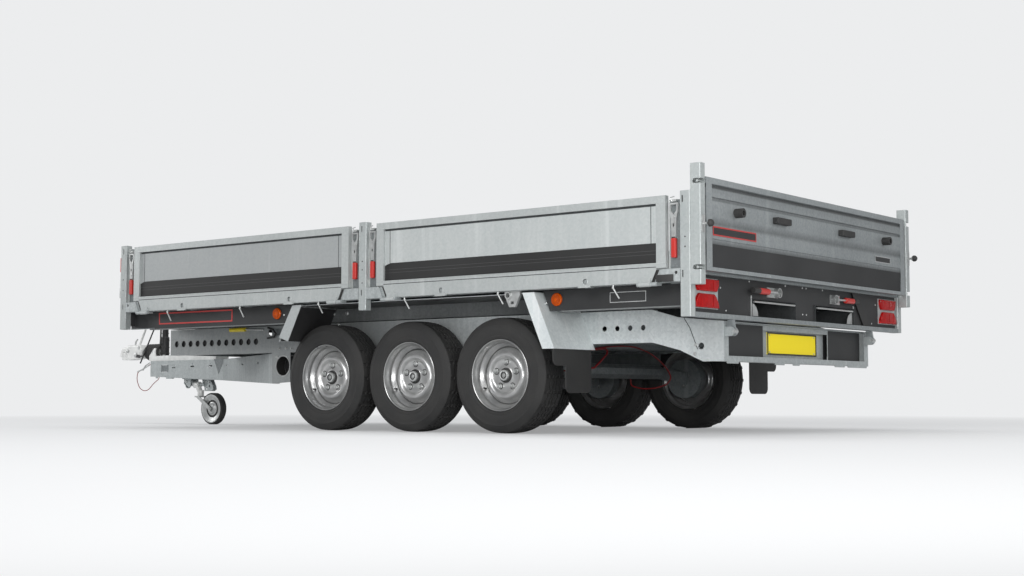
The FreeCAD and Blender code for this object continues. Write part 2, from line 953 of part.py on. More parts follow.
def plate_bracket():
    low = rear_drop_bottom + rear_frame_sheet
    high = rear_top - rear_frame_sheet
    header = block(infill_x, infill_x + infill_sheet, -infill_inner, infill_inner, header_bottom, high)
    back_x = plate_x + plate_thick
    backing = block(back_x, back_x + infill_sheet, -infill_inner, infill_inner, low, high)
    return join([
        header,
        backing,
        block(infill_x, back_x + infill_sheet, -infill_inner, infill_inner, high - infill_sheet, high),
    ])


def tube_post(x0, x1, y0, y1, z0, z1):
    """A square tube with rounded corners and a closed top."""
    body = block(x0, x1, y0, y1, z0, z1)
    upright = [edge for edge in body.Edges if edge.BoundBox.ZLength > post_corner * 2]
    body = body.makeFillet(post_corner, upright)
    bore = block(
        x0 + post_sheet, x1 - post_sheet, y0 + post_sheet, y1 - post_sheet, z0 - overrun, z1 - post_sheet
    )
    return less(body, [bore])


def bed_posts():
    """Slotted posts at the rear, the middle and the front of each side."""
    outer = bed_half
    inner = bed_half - post_width
    posts = []
    for start, low, slot_x in zip(post_starts, post_bottoms, post_slot_places):
        post = tube_post(start, start + post_length, inner, outer, low, post_top)
        slots = [
            block(
                slot_x - post_slot_width / 2, slot_x + post_slot_width / 2, outer - post_sheet - post_corner,
                outer + overrun, centre - post_slot_height / 2, centre + post_slot_height / 2,
            )
            for centre in post_slot_centres
        ]
        posts.append(less(post, slots))
    return both_sides(posts)


def tall_posts():
    """Tailgate posts: each has an open slot at the top and foot for the gate's pins, which show in them."""
    inner = bed_half - post_width
    rear = -tall_post_length
    post = tube_post(rear, 0, inner, bed_half, tall_post_bottom, tall_post_top)
    pin_x = -gate_back + gate_thick / 2
    slots = []
    pins = []
    for height in (gate_axis_height, gate_foot_pin_height):
        end = Vector(gate_slot_end, bed_half - post_sheet - post_corner, height)
        slots.append(rod(end, end + Vector(0, overrun * 2, 0), gate_slot_radius))
        slots.append(
            block(
                rear - overrun, gate_slot_end, bed_half - post_sheet - post_corner, bed_half + overrun,
                height - gate_slot_radius, height + gate_slot_radius,
            )
        )
        slots.append(
            block(
                rear - overrun, rear + post_sheet + post_corner, inner + post_sheet, bed_half + overrun,
                height - gate_slot_radius, height + gate_slot_radius,
            )
        )
        pins.append(
            rod(
                Vector(pin_x, inner, height), Vector(pin_x, bed_half - post_sheet, height),
                hinge_pin_radius
            )
        )
    upper_pin = rod(
        Vector(pin_x, inner - gate_side_gap * 2 + pivot_play * 2, gate_axis_height),
        Vector(pin_x, inner, gate_axis_height),
        hinge_pin_radius,
    )
    return both_sides([join([less(post, slots), upper_pin] + pins)])


def side_rails():
    """The bed's edge channels, notched round the posts."""
    outer = bed_half - side_skirt_sheet - skin_clearance
    inner = outer - rail_depth
    beam = block(rear_rail_depth, bed_length - post_length, inner, outer, rail_bottom, rail_top)
    recess = block(
        rear_rail_depth - overrun,
        bed_length + overrun,
        inner - overrun,
        outer - rail_sheet,
        rail_bottom + rail_sheet,
        rail_top - rail_sheet,
    )
    beam = less(beam, [recess])
    mid_rear = mid_post_centre - post_length / 2
    notches = [
        block(start, start + post_length, bed_half - post_width, bed_half, 0, post_top)
        for start in (0, mid_rear, bed_length - post_length)
    ]
    return join([less(beam, notches)] + rail_corners())


def rail_corners():
    """Rail faces beside each post, with a hole and the slanted ends that the drop sides' skirts meet."""
    outer = bed_half
    inner = bed_half - side_skirt_sheet
    mid_rear = mid_post_centre - post_length / 2
    mid_front = mid_rear + post_length
    reach = latch_bay + stile_width - side_skirt_taper
    plates = []
    for post_face, sign in (
        (post_length, 1), (mid_rear, -1), (mid_front, 1), (bed_length - post_length, -1)
    ):
        outline = [
            (post_face, side_skirt_bottom),
            (post_face, rail_top),
            (post_face + sign * (reach - latch_gap), rail_top),
            (post_face + sign * (reach + side_skirt_taper - latch_gap), side_skirt_bottom),
        ]
        plate = side_plate(outline, inner - skin_clearance, outer)
        if post_face in (post_length, bed_length - post_length):
            start = Vector(post_face + sign * corner_eye_inset, inner - skin_clearance, corner_eye_height)
            plate = less(plate, [rod(start, start + Vector(0, overrun, 0), corner_eye_radius)])
        plates.append(plate)
    return plates


def drop_side(rear, front):
    """One drop side: a framed pressed panel, its skirt over the rail and its hinge knuckles."""
    outer = bed_half
    inner = outer - side_thick
    panel = block(rear, front, inner, outer, side_bottom, side_top)
    recess_face = outer - side_thick / 2
    recess = block(
        rear + stile_width, front - stile_width, recess_face, outer + overrun, side_bottom + side_foot_rim,
        side_top - side_rim,
    )
    back_recess = block(
        rear + stile_width, front - stile_width, inner - overrun, recess_face - side_sheet,
        side_bottom + side_foot_rim, side_top - side_rim,
    )
    creases = [
        block(
            x - side_crease / 2, x + side_crease / 2, recess_face - side_crease / 2, outer + overrun,
            side_crease_bottom, side_top - side_rim,
        )
        for x in (rear + stile_width + side_crease_inset, front - stile_width - side_crease_inset)
    ]
    panel = less(panel, [recess, back_recess] + creases)
    skirt_outline = [
        (rear + stile_width, side_bottom),
        (front - stile_width, side_bottom),
        (front - stile_width, rail_top),
        (front - stile_width - side_skirt_taper, side_skirt_bottom),
        (rear + stile_width + side_skirt_taper, side_skirt_bottom),
        (rear + stile_width, rail_top),
    ]
    skirt = side_plate(skirt_outline, outer - side_skirt_sheet, outer)
    lash_places = [rear + (front - rear) * share for share in lash_shares]
    lash_holes = [
        rod(
            Vector(x, outer - overrun, lash_hole_height),
            Vector(x, outer + overrun, lash_hole_height),
            lash_hole_radius,
        )
        for x in lash_places
    ]
    tongues = [
        block(
            x - lash_tongue_length / 2, x + lash_tongue_length / 2, outer - side_skirt_sheet,
            outer + lash_tongue_reach, side_skirt_bottom - lash_tongue_drop,
            side_skirt_bottom + lash_tongue_drop / 2,
        )
        for x in lash_places
    ]
    axis_y = outer + side_hinge_out
    pieces = [panel, less(skirt, lash_holes)] + tongues
    for start in (
        rear + stile_width + side_skirt_taper, front - stile_width - side_skirt_taper - knuckle_length
    ):
        knuckle = rod(
            Vector(start, axis_y, side_hinge_height),
            Vector(start + knuckle_length, axis_y, side_hinge_height),
            knuckle_radius,
        )
        leaf = block(
            start, start + knuckle_length, outer - side_skirt_sheet, axis_y, side_hinge_height,
            lash_hole_height
        )
        bore = rod(
            Vector(start - overrun, axis_y, side_hinge_height),
            Vector(start + knuckle_length + overrun, axis_y, side_hinge_height),
            hinge_pin_radius + pivot_play,
        )
        pieces += [less(join([leaf, knuckle]), [bore])]
    return join(pieces)


def side_spans():
    mid_rear = mid_post_centre - post_length / 2
    return {
        "rear": (post_length + latch_bay, mid_rear - latch_bay),
        "front": (mid_rear + post_length + latch_bay, bed_length - post_length - latch_bay),
    }


def side_hinge_mounts(rear, front):
    """Hinge pins of one drop side, each with a long barrel at the post and a short ear."""
    axis_y = bed_half + side_hinge_out
    pieces = []
    rear_knuckle = rear + stile_width + side_skirt_taper
    front_knuckle = front - stile_width - side_skirt_taper - knuckle_length
    for start, barrel_first in ((rear_knuckle, True), (front_knuckle, False)):
        gap = pivot_play * 2
        before = hinge_barrel_length if barrel_first else hinge_ear_length
        after = hinge_ear_length if barrel_first else hinge_barrel_length
        spans = (
            (start - gap - before, start - gap),
            (start + knuckle_length + gap, start + knuckle_length + gap + after)
        )
        pin = rod(
            Vector(spans[0][0], axis_y, side_hinge_height), Vector(spans[1][1], axis_y, side_hinge_height),
            hinge_pin_radius,
        )
        ears = []
        for ear_start, ear_end in spans:
            ears.append(
                block(
                    ear_start, ear_end, bed_half - hinge_ear_reach, axis_y,
                    side_hinge_height - hinge_pin_radius,
                    side_hinge_height + hinge_pin_radius,
                )
            )
            ears.append(
                block(
                    ear_start, ear_end, bed_half - hinge_ear_reach,
                    bed_half - side_skirt_sheet - skin_clearance,
                    side_hinge_height, rail_bottom,
                )
            )
            ears.append(
                rod(
                    Vector(ear_start, axis_y, side_hinge_height), Vector(ear_end, axis_y, side_hinge_height),
                    hinge_ear_radius,
                )
            )
        pieces.append(join([pin] + ears))
    return pieces


def headboard():
    outer = bed_length - skin_clearance
    inner = outer - side_thick
    half = bed_half - post_width - latch_gap
    panel = block(inner, outer, -half, half, side_bottom, side_top)
    recess = block(
        outer - side_thick / 2,
        outer + overrun,
        -half + stile_width,
        half - stile_width,
        side_bottom + side_foot_rim,
        side_top - side_rim,
    )
    back_recess = block(
        inner - overrun,
        outer - side_thick / 2 - side_sheet,
        -half + stile_width,
        half - stile_width,
        side_bottom + side_foot_rim,
        side_top - side_rim,
    )
    panel = less(panel, [recess, back_recess])
    axis_x = bed_length + head_hinge_out
    pieces = [panel]
    for y in head_hinge_places():
        knuckle = rod(
            Vector(axis_x, y, head_hinge_height), Vector(axis_x, y + knuckle_length, head_hinge_height),
            knuckle_radius
        )
        leaf = block(
            outer, axis_x, y, y + knuckle_length, head_hinge_height, side_bottom + side_foot_rim
        )
        bore = rod(
            Vector(axis_x, y - overrun, head_hinge_height),
            Vector(axis_x, y + knuckle_length + overrun, head_hinge_height),
            hinge_pin_radius + pivot_play,
        )
        pieces.append(less(join([leaf, knuckle]), [bore]))
    return join(pieces)


def head_hinge_places():
    half = bed_half - post_width - latch_gap
    offset = half * head_hinge_share
    return (offset - knuckle_length / 2, -offset - knuckle_length / 2)


def head_hinge_mounts():
    axis_x = bed_length + head_hinge_out
    pieces = []
    for y in head_hinge_places():
        ears = [
            rod(
                Vector(axis_x, y - knuckle_radius, head_hinge_height),
                Vector(axis_x, y + knuckle_length + knuckle_radius, head_hinge_height),
                hinge_pin_radius,
            )
        ]
        for ear_start in (y - knuckle_radius, y + knuckle_length + pivot_play * 2):
            ear_end = ear_start + knuckle_radius - pivot_play * 2
            ears.append(
                block(
                    bed_length - skin_clearance * 2,
                    axis_x,
                    ear_start,
                    ear_end,
                    head_hinge_height - hinge_pin_radius,
                    head_hinge_height + hinge_pin_radius,
                )
            )
            ears.append(
                rod(
                    Vector(axis_x, ear_start, head_hinge_height),
                    Vector(axis_x, ear_end, head_hinge_height),
                    hinge_pin_radius + rail_sheet / 2,
                )
            )
        pieces.append(join(ears))
    return pieces


def gate_skin_cut(half):
    """What the press takes off the gate's rear face: two bands, a soft channel and the flat lower panel."""
    back = -gate_back
    face = back + gate_sheet
    low = gate_bottom + gate_rim
    high = gate_top - gate_rim
    curve = Part.BSplineCurve()
    curve.interpolate([
        Vector(face - gate_band_rise, 0, gate_channel_low),
        Vector(face, 0, gate_channel_low + gate_press_width),
        Vector(face + gate_channel_depth, 0, (gate_channel_low + gate_channel_high) / 2),
        Vector(face, 0, gate_channel_high - gate_press_width),
        Vector(face - gate_band_rise, 0, gate_channel_high),
    ])
    outline = [
        Vector(face - gate_band_rise, 0, gate_channel_high),
        Vector(face - gate_band_rise, 0, high - gate_press_width * 2),
        Vector(face + gate_channel_depth, 0, high - gate_press_width),
        Vector(face + gate_channel_depth, 0, high),
        Vector(back - overrun, 0, high),
        Vector(back - overrun, 0, low),
        Vector(face + gate_band_rise, 0, low),
        Vector(face + gate_band_rise, 0, gate_panel_top),
        Vector(face - gate_band_rise, 0, gate_panel_top + gate_band_rise),
        Vector(face - gate_band_rise, 0, gate_channel_low),
    ]
    edges = [curve.toShape()] + [
        Part.LineSegment(start, end).toShape() for start, end in zip(outline, outline[1:])
    ]
    face_shape = Part.Face(Part.Wire(edges))
    face_shape.translate(Vector(0, -half + gate_channel, 0))
    return face_shape.extrude(Vector(0, (half - gate_channel) * 2, 0))


def tailgate():
    """A tube-framed gate with a pressed skin, hung from pins at its top corners."""
    front = -gate_back + gate_thick
    half = bed_half - post_width - gate_side_gap
    pin_x = -gate_back + gate_thick / 2
    panel = block(-gate_back, front, -half, half, gate_bottom, gate_top)
    hollow = block(
        pin_x, front + overrun, -half + gate_channel, half - gate_channel, gate_bottom + gate_rim,
        gate_top - gate_head_rail,
    )
    groove = block(
        -gate_back - overrun, -gate_back + gate_press_depth + gate_sheet, -half + gate_channel,
        half - gate_channel,
        gate_press_height - gate_press_width / 2, gate_press_height + gate_press_width / 2,
    )
    bore = rod(
        Vector(pin_x, half - gate_side_gap, gate_axis_height), Vector(pin_x, bed_half, gate_axis_height),
        hinge_pin_radius + pivot_play,
    )
    body = less(panel, [gate_skin_cut(half), hollow, groove, bore, opposite(bore)])
    ear_length = gate_side_gap / 2 - pivot_play * 2
    ear = less(
        rod(
            Vector(pin_x, half, gate_axis_height), Vector(pin_x, half + ear_length, gate_axis_height),
            hinge_pin_radius * 2,
        ),
        [bore],
    )
    return join([body, ear, opposite(ear)])


def tailgate_buffers():
    """Round buffers with a bored end near the posts, and two oblong ones between them."""
    face = -gate_back + gate_sheet - gate_band_rise
    shapes = []
    for y in (round_buffer_place, -round_buffer_place):
        foot = Vector(face, y, buffer_height)
        end = foot - Vector(round_buffer_reach, 0, 0)
        bore_start = end + Vector(round_buffer_reach / 2, 0, 0)
        shapes.append(
            less(
                rod(foot, end, buffer_radius),
                [rod(bore_start, bore_start - Vector(round_buffer_reach, 0, 0), buffer_bore_radius)],
            )
        )
    for y in block_places:
        body = block(
            face - buffer_reach, face, y - block_width / 2, y + block_width / 2,
            buffer_height - block_height / 2,
            buffer_height + block_height / 2,
        )
        outer_edges = [edge for edge in body.Edges if edge.BoundBox.XMin < face - buffer_reach / 2]
        shapes.append(body.makeFillet(block_corner, outer_edges))
    return shapes


def bed_subframe():
    inner = chassis_half_width - subframe_width
    beam = block(
        rear_rail_depth, bed_length - post_length, inner, chassis_half_width, subframe_bottom,
        subframe_top
    )
    recess = block(
        rear_rail_depth - overrun,
        bed_length + overrun,
        inner - overrun,
        chassis_half_width - rail_sheet,
        subframe_bottom + rail_sheet,
        subframe_top - rail_sheet,
    )
    return both_sides([less(beam, [recess])])


def bed_crossmembers():
    outer = bed_half - side_skirt_sheet - skin_clearance - rail_depth
    members = []
    for step in range(cross_count):
        x = cross_first + step * cross_pitch
        beam = block(x, x + cross_width, -outer, outer, subframe_top, rail_top)
        recess = block(
            x + rail_sheet,
            x + cross_width + overrun,
            -outer - overrun,
            outer + overrun,
            subframe_top + rail_sheet,
            rail_top - rail_sheet,
        )
        member = less(beam, [recess])
        if step == ram_cross_member:
            member = join([member] + ram_eye_brackets())
        members.append(member)
    return members


def rear_structure():
    """The bed's rear rails, uprights, pivot lugs and the flange under the rear sheet."""
    half = bed_half - post_width
    top_rail = block(0, rear_rail_depth, -half, half, rail_top - rear_rail_height, rail_top)
    flange = block(0, rear_rail_depth, -half, half, rear_post_bottom, rear_post_bottom + rear_flange_height)
    web_x = rear_sheet_x + rear_sheet_thick
    uprights = [
        block(
            web_x, rear_rail_depth, centre - upright_width / 2, centre + upright_width / 2,
            rear_post_bottom + rear_flange_height, rail_top - rear_rail_height,
        )
        for centre in (pivot_lug_centre, -pivot_lug_centre, 0)
    ]
    lug_low = pivot_lug_centre - bed_lug_thick / 2
    lug_high = pivot_lug_centre + bed_lug_thick / 2
    lug_outline = [
        (0, rear_post_bottom),
        (pivot_x - pivot_lug_radius, pivot_height),
        (pivot_x + pivot_lug_radius, pivot_height),
        (pivot_x + pivot_lug_radius, rear_post_bottom),
    ]
    lug = join([
        side_plate(lug_outline, lug_low, lug_high),
        rod(
            Vector(pivot_x, lug_low, pivot_height), Vector(pivot_x, lug_high, pivot_height),
            pivot_lug_radius
        ),
    ])
    bore = rod(
        Vector(pivot_x, lug_low - overrun, pivot_height),
        Vector(pivot_x, lug_high + overrun, pivot_height),
        pivot_pin_radius + pivot_play,
    )
    lug = less(lug, [bore])
    return join([top_rail, flange, lug, opposite(lug)] + uprights)


def ramp_trays():
    """Trays for the loading ramps, each with an upright at its mouth."""
    start = rear_sheet_x + rear_sheet_thick
    low = rear_post_bottom + rear_flange_height
    tray = block(start, start + ramp_tray_length, ramp_bay_inner, ramp_bay_outer, low, ramp_bay_top)
    bore = block(
        start - overrun,
        start + ramp_tray_length + overrun,
        ramp_bay_inner + ramp_tray_sheet,
        ramp_bay_outer - ramp_tray_sheet,
        low + ramp_tray_sheet,
        ramp_bay_top - ramp_tray_sheet,
    )
    tray = less(tray, [bore])
    hangers = [
        block(x, x + rail_sheet, ramp_bay_inner, ramp_bay_outer, ramp_bay_top, subframe_top)
        for x in (cross_first + cross_pitch, cross_first + cross_pitch * 2)
    ]
    uprights = [
        block(rear_sheet_x - ramp_cheek_reach, start, low_y, low_y + ramp_tray_sheet, low, ramp_bay_top)
        for low_y in (ramp_bay_inner, ramp_bay_outer - ramp_tray_sheet)
    ]
    return both_sides([join([tray] + uprights + hangers)])


def rear_sheet():
    half = bed_half - post_width
    sheet = block(
        rear_sheet_x,
        rear_sheet_x + rear_sheet_thick,
        -half,
        half,
        rear_post_bottom + rear_flange_height,
        rail_top - rear_rail_height,
    )
    bay = block(
        rear_sheet_x - overrun,
        rear_sheet_x + overrun,
        ramp_bay_inner,
        ramp_bay_outer,
        rear_post_bottom + rear_flange_height,
        ramp_bay_top,
    )
    return less(sheet, [bay, opposite(bay)])


def skirts():
    """Dark side skirts under the bed's edge, and the valance across its front."""
    outer = skirt_half_width
    inner = outer - skirt_sheet
    lean = (guard_rear_top - guard_rear_foot) / (guard_top - guard_rear_bottom)
    clear = skirt_sheet * 4
    rear_low = guard_rear_top - lean * (guard_top - skirt_bottom) - clear
    rear_outline = [
        (post_length, skirt_bottom),
        (rear_low, skirt_bottom),
        (guard_rear_top - clear, subframe_top),
        (post_length, subframe_top),
    ]
    front_lean = (guard_front_foot - guard_front_top) / (guard_top - guard_front_bottom)
    front_low = guard_front_top + front_lean * (guard_top - skirt_bottom) + clear
    front_outline = [
        (front_low, skirt_bottom),
        (skirt_front, skirt_bottom),
        (skirt_front, subframe_top),
        (guard_front_top + clear, subframe_top),
    ]
    sides = [side_plate(outline, inner, outer) for outline in (rear_outline, front_outline)]
    valance_half = bed_half - post_width
    valance = block(
        bed_length - post_length, bed_length - post_length + skirt_sheet, -valance_half, valance_half,
        front_post_bottom + overrun, rail_bottom,
    )
    return both_sides(sides) + [valance]


def skirt_lips():
    spans = ((post_length, guard_rear_foot), (guard_front_foot + overrun, skirt_front))
    strips = [
        block(
            start, end, skirt_half_width - skirt_lip_width, skirt_half_width + skirt_sheet,
            skirt_bottom - skirt_lip, skirt_bottom,
        )
        for start, end in spans
    ]
    return both_sides(strips)


def front_rail():
    half = bed_half - post_width
    face = bed_length - skin_clearance * 2
    beam = block(bed_length - post_length, face, -half, half, rail_bottom, rail_top)
    recess = block(
        bed_length - post_length - overrun,
        face - rail_sheet,
        -half - overrun,
        half + overrun,
        rail_bottom + rail_sheet,
        rail_top - rail_sheet,
    )
    return less(beam, [recess])


def bed_floor():
    half = bed_half - side_thick - latch_gap
    floor = block(0, bed_length - side_thick - skin_clearance - latch_gap, -half, half, rail_top, floor_top)
    notches = []
    mid_rear = mid_post_centre - post_length / 2
    for start in (0, mid_rear, bed_length - post_length):
        notches.append(
            block(
                start, start + post_length, bed_half - post_width, bed_half, rail_top - overrun,
                floor_top + overrun
            )
        )
    return less(floor, notches + [opposite(notch) for notch in notches])


def latch_spots():
    """Rear and front end of each bay between a post and a drop side."""
    mid_rear = mid_post_centre - post_length / 2
    mid_front = mid_rear + post_length
    return (
        (post_length, post_length + latch_bay),
        (mid_rear - latch_bay, mid_rear),
        (mid_front, mid_front + latch_bay),
        (bed_length - post_length - latch_bay, bed_length - post_length),
    )


def catch_loop(x, face, low, width):
    """The catch of an over-centre latch: a tapered loop on a slotted stem, lying on the plane y = face."""
    half = width / 2
    waist = latch_waist / 2
    outline = [
        (x - half, low + latch_loop_height),
        (x - half, low + latch_loop_height / 2),
        (x - waist, low),
        (x + waist, low),
        (x + half, low + latch_loop_height / 2),
        (x + half, low + latch_loop_height),
    ]
    opening = [
        (x - half + latch_bar, low + latch_loop_height - latch_bar),
        (x - half + latch_bar, low + latch_loop_height / 2),
        (x, low + latch_bar * 2),
        (x + half - latch_bar, low + latch_loop_height / 2),
        (x + half - latch_bar, low + latch_loop_height - latch_bar),
    ]
    stem = [
        (x - waist, low + latch_bar),
        (x - waist * latch_stem_share, grip_top),
        (x + waist * latch_stem_share, grip_top),
        (x + waist, low + latch_bar),
    ]
    slot = block(
        x - latch_slot / 2, x + latch_slot / 2, face + latch_bar / 2, face + latch_thick + overrun,
        low - latch_slot * 5, low - latch_slot * 3,
    )
    loop = less(
        side_plate(outline, face, face + latch_thick),
        [side_plate(opening, face - overrun, face + latch_thick + overrun)]
    )
    return less(join([loop, side_plate(stem, face, face + latch_thick)]), [slot])


def ramp_latch():
    """A latch on its side: mounting plate, ring and the bar that enters the grip."""
    back = rear_sheet_x
    plate_face = back - ramp_latch_sheet
    inner = ramp_latch_inner
    end = inner + ramp_latch_length
    plate = block(
        plate_face, back, inner, end - ramp_latch_radius, ramp_latch_height - ramp_latch_radius,
        ramp_latch_height + ramp_latch_radius,
    )
    ring_y = inner + ramp_latch_radius
    ring_start = Vector(plate_face - ramp_latch_radius, ring_y, ramp_latch_height)
    ring_end = Vector(plate_face, ring_y, ramp_latch_height)
    ring = less(
        rod(ring_start, ring_end, ramp_latch_radius),
        [rod(ring_start - Vector(overrun, 0, 0), ring_end, ramp_latch_radius - ramp_latch_sheet)],
    )
    bar_x = back - ramp_latch_radius
    bar = block(
        bar_x - ramp_latch_sheet, plate_face, ring_y + ramp_latch_radius - ramp_latch_sheet / 2, end,
        ramp_latch_height - ramp_latch_sheet, ramp_latch_height + ramp_latch_sheet,
    )
    return join([plate, ring, bar])


def gate_knob():
    """Pull knob of the tailgate's catch, on the rear face of its post."""
    rear = -tall_post_length
    y = bed_half - post_width / 2
    plate = block(
        rear - rail_sheet, rear, y - gate_knob_plate / 2, y + gate_knob_plate / 2,
        gate_knob_height - gate_knob_plate * 3 / 2,
        gate_knob_height + gate_knob_plate * 3 / 2,
    )
    centre = Vector(rear - gate_knob_stem, y, gate_knob_height)
    stem = rod(centre, Vector(rear, y, gate_knob_height), hinge_pin_radius)
    return join([plate, stem, Part.makeSphere(gate_knob_radius, centre)])


def latches():
    """Over-centre latches in the bays, on the front posts and beside the ramps, and the gate's pull knobs."""
    outer = bed_half
    face = outer - side_thick + rail_sheet
    loop_low = latch_top - latch_loop_height
    shapes = []
    mid_rear = mid_post_centre - post_length / 2
    for rear, front in latch_spots():
        centre = (rear + front) / 2
        post_in_front = front in (mid_rear, bed_length - post_length)
        low = rear + latch_gap if post_in_front else rear
        high = front if post_in_front else front - latch_gap
        plate = block(low, high, outer - side_thick, face, rail_top, post_top - side_rim)
        keeper = block(
            centre - latch_waist / 2, centre + latch_waist / 2, face, face + latch_thick,
            latch_top + latch_bar,
            post_top - side_rim,
        )
        shapes.append(join([plate, catch_loop(centre, face, loop_low, latch_length), keeper]))
    shapes = both_sides(shapes)
    shapes += both_sides([ramp_latch(), gate_knob()])
    head_loop = catch_loop(0, 0, loop_low, front_latch_width)
    head_loop.rotate(Vector(0, 0, 0), upward, -90)
    head_loop = head_loop.mirror(Vector(0, 0, (grip_bottom + latch_top) / 2), upward)
    for side in (1, -1):
        shape = head_loop.copy()
        shape.translate(Vector(bed_length, side * (bed_half - post_width / 2), front_latch_rise))
        shapes.append(shape)
    return shapes


def rounded_grip(x0, x1, y0, y1, z0, z1, corner):
    body = block(x0, x1, y0, y1, z0, z1)
    return body.makeFillet(corner, body.Edges)


def latch_grips():
    """Moulded handles on the latches."""
    outer = bed_half
    face = outer - side_thick + rail_sheet
    shapes = []
    for rear, front in latch_spots():
        centre = (rear + front) / 2
        shapes.append(
            rounded_grip(
                centre - grip_length / 2, centre + grip_length / 2, face, face + grip_thick, grip_bottom,
                grip_top, grip_corner,
            )
        )
    shapes = both_sides(shapes)
    front_low = latch_top - (grip_top - grip_bottom) + front_latch_rise
    for side in (1, -1):
        y = side * (bed_half - post_width / 2)
        shapes.append(
            rounded_grip(
                bed_length, bed_length + grip_thick, y - grip_length / 2, y + grip_length / 2, front_low,
                latch_top + front_latch_rise, grip_corner,
            )
        )
    grip_x = rear_sheet_x - ramp_latch_radius
    start_y = ramp_latch_inner + ramp_latch_length
    grip = rod(
        Vector(grip_x, start_y, ramp_latch_height),
        Vector(grip_x, start_y + ramp_grip_length, ramp_latch_height),
        ramp_grip_radius,
    )
    ends = [edge for edge in grip.Edges if edge.BoundBox.YLength < grip_corner]
    return shapes + both_sides([grip.makeFillet(grip_corner, ends)])


def lamp_lens(low, high, wide_at_top):
    """A lens drawn in at one end and sloped on every side, from its base on the sheet to its flat front."""
    def section(x, inset):
        taper_top = 0 if wide_at_top else lamp_taper
        taper_low = lamp_taper if wide_at_top else 0
        corners = [
            Vector(x, lamp_inner + taper_low + inset, low + inset),
            Vector(x, lamp_outer - taper_low - inset, low + inset),
            Vector(x, lamp_outer - taper_top - inset, high - inset),
            Vector(x, lamp_inner + taper_top + inset, high - inset),
        ]
        return Part.makePolygon(corners + corners[:1])
    base = section(rear_sheet_x, 0)
    middle = section(rear_sheet_x - lamp_depth / 2, lamp_bevel / 3)
    front = section(rear_sheet_x - lamp_depth, lamp_bevel)
    return Part.makeLoft([base, middle, front], True, True)


def tail_lamps():
    (low, high), (upper_low, upper_high) = lamp_heights
    return both_sides([lamp_lens(low, high, False), lamp_lens(upper_low, upper_high, True)])


def marker_lamps():
    """Round lenses on a plain foot, domed in front."""
    profile = [
        (marker_radius, 0),
        (marker_radius, marker_depth / 2),
        (marker_radius - marker_bevel, marker_depth - marker_bevel / 2),
        (marker_radius / 2, marker_depth - marker_bevel / 4),
        (0, marker_depth),
        (0, 0),
    ]
    return both_sides(
        [revolve(profile, Vector(x, skirt_half_width, marker_height), 1) for x in marker_places]
    )


def lashing_fittings():
    """Bent rope hooks under the rails, and a cast eye on each side."""
    y = bed_half - hook_inset
    shapes = []
    for x in hook_places:
        top = Vector(x + hook_lean / 2, y, rail_bottom)
        knee = top - Vector(0, 0, hook_knee)
        tip = Vector(x - hook_lean / 2, y, rail_bottom - hook_drop)
        shapes.append(
            join(
                [
                    rod(top, knee, hook_radius), Part.makeSphere(hook_radius, knee),
                    rod(knee, tip, hook_tip_radius)
                ]
            )
        )
    half_top = casting_length / 2
    outline = [
        (casting_place - half_top, rail_bottom),
        (casting_place - half_top, rail_bottom - casting_cheek),
        (casting_place - casting_foot / 2, rail_bottom - casting_height),
        (casting_place + casting_foot / 2, rail_bottom - casting_height),
        (casting_place + half_top, rail_bottom - casting_cheek),
        (casting_place + half_top, rail_bottom),
    ]
    body = side_plate(outline, y - casting_thick, y)
    eye_x = casting_place + casting_length / 4
    eye_z = rail_bottom - casting_cheek
    collar = rod(
        Vector(eye_x, y - casting_thick, eye_z), Vector(eye_x, y + casting_thick / 2, eye_z),
        casting_collar_radius
    )
    eye = rod(
        Vector(eye_x, y - overrun, eye_z), Vector(eye_x, y + overrun, eye_z), casting_eye_radius
    )
    slot = block(
        casting_place - casting_foot / 4, casting_place + casting_foot / 4, y - overrun, y + overrun,
        rail_bottom - casting_height + casting_thick, rail_bottom - casting_height + casting_thick * 2,
    )
    return both_sides(shapes + [less(join([body, collar]), [eye, slot])])


def coupling_head():
    """Cast ball coupling: humped body with a stepped nose, the socket underneath and the handle on top."""
    body = side_plate(
        [(head_ball_x + reach, shaft_height + rise) for reach, rise in head_outline],
        -head_half_width,
        head_half_width,
    )
    upper = [
        edge
        for edge in body.Edges
        if edge.BoundBox.YLength < head_corner and edge.BoundBox.ZMin > shaft_height - overrun
    ]
    body = body.makeFillet(head_corner, upper)
    neck = rod(
        Vector(gaiter_front, 0, shaft_height), Vector(head_ball_x, 0, shaft_height), head_neck_radius
    )
    cup = rod(Vector(head_ball_x, 0, head_bottom), Vector(head_ball_x, 0, shaft_height), head_radius)
    socket_height = head_bottom + head_ball_radius * socket_share
    socket = Part.makeSphere(head_ball_radius, Vector(head_ball_x, 0, socket_height))
    mouth = rod(
        Vector(head_ball_x, 0, head_bottom - overrun), Vector(head_ball_x, 0, socket_height), head_ball_radius
    )
    foot_x, foot_height = handle_foot
    tip_x, tip_height = handle_tip
    handle = rod(Vector(foot_x, 0, foot_height), Vector(tip_x, 0, tip_height), head_handle_radius)
    bolts = both_sides([
        rod(Vector(x, 0, z), Vector(x, head_half_width + head_bolt_reach, z), head_bolt_radius)
        for x, z in head_bolts
    ])
    return less(join([body, neck, cup, handle] + bolts), [socket, mouth])


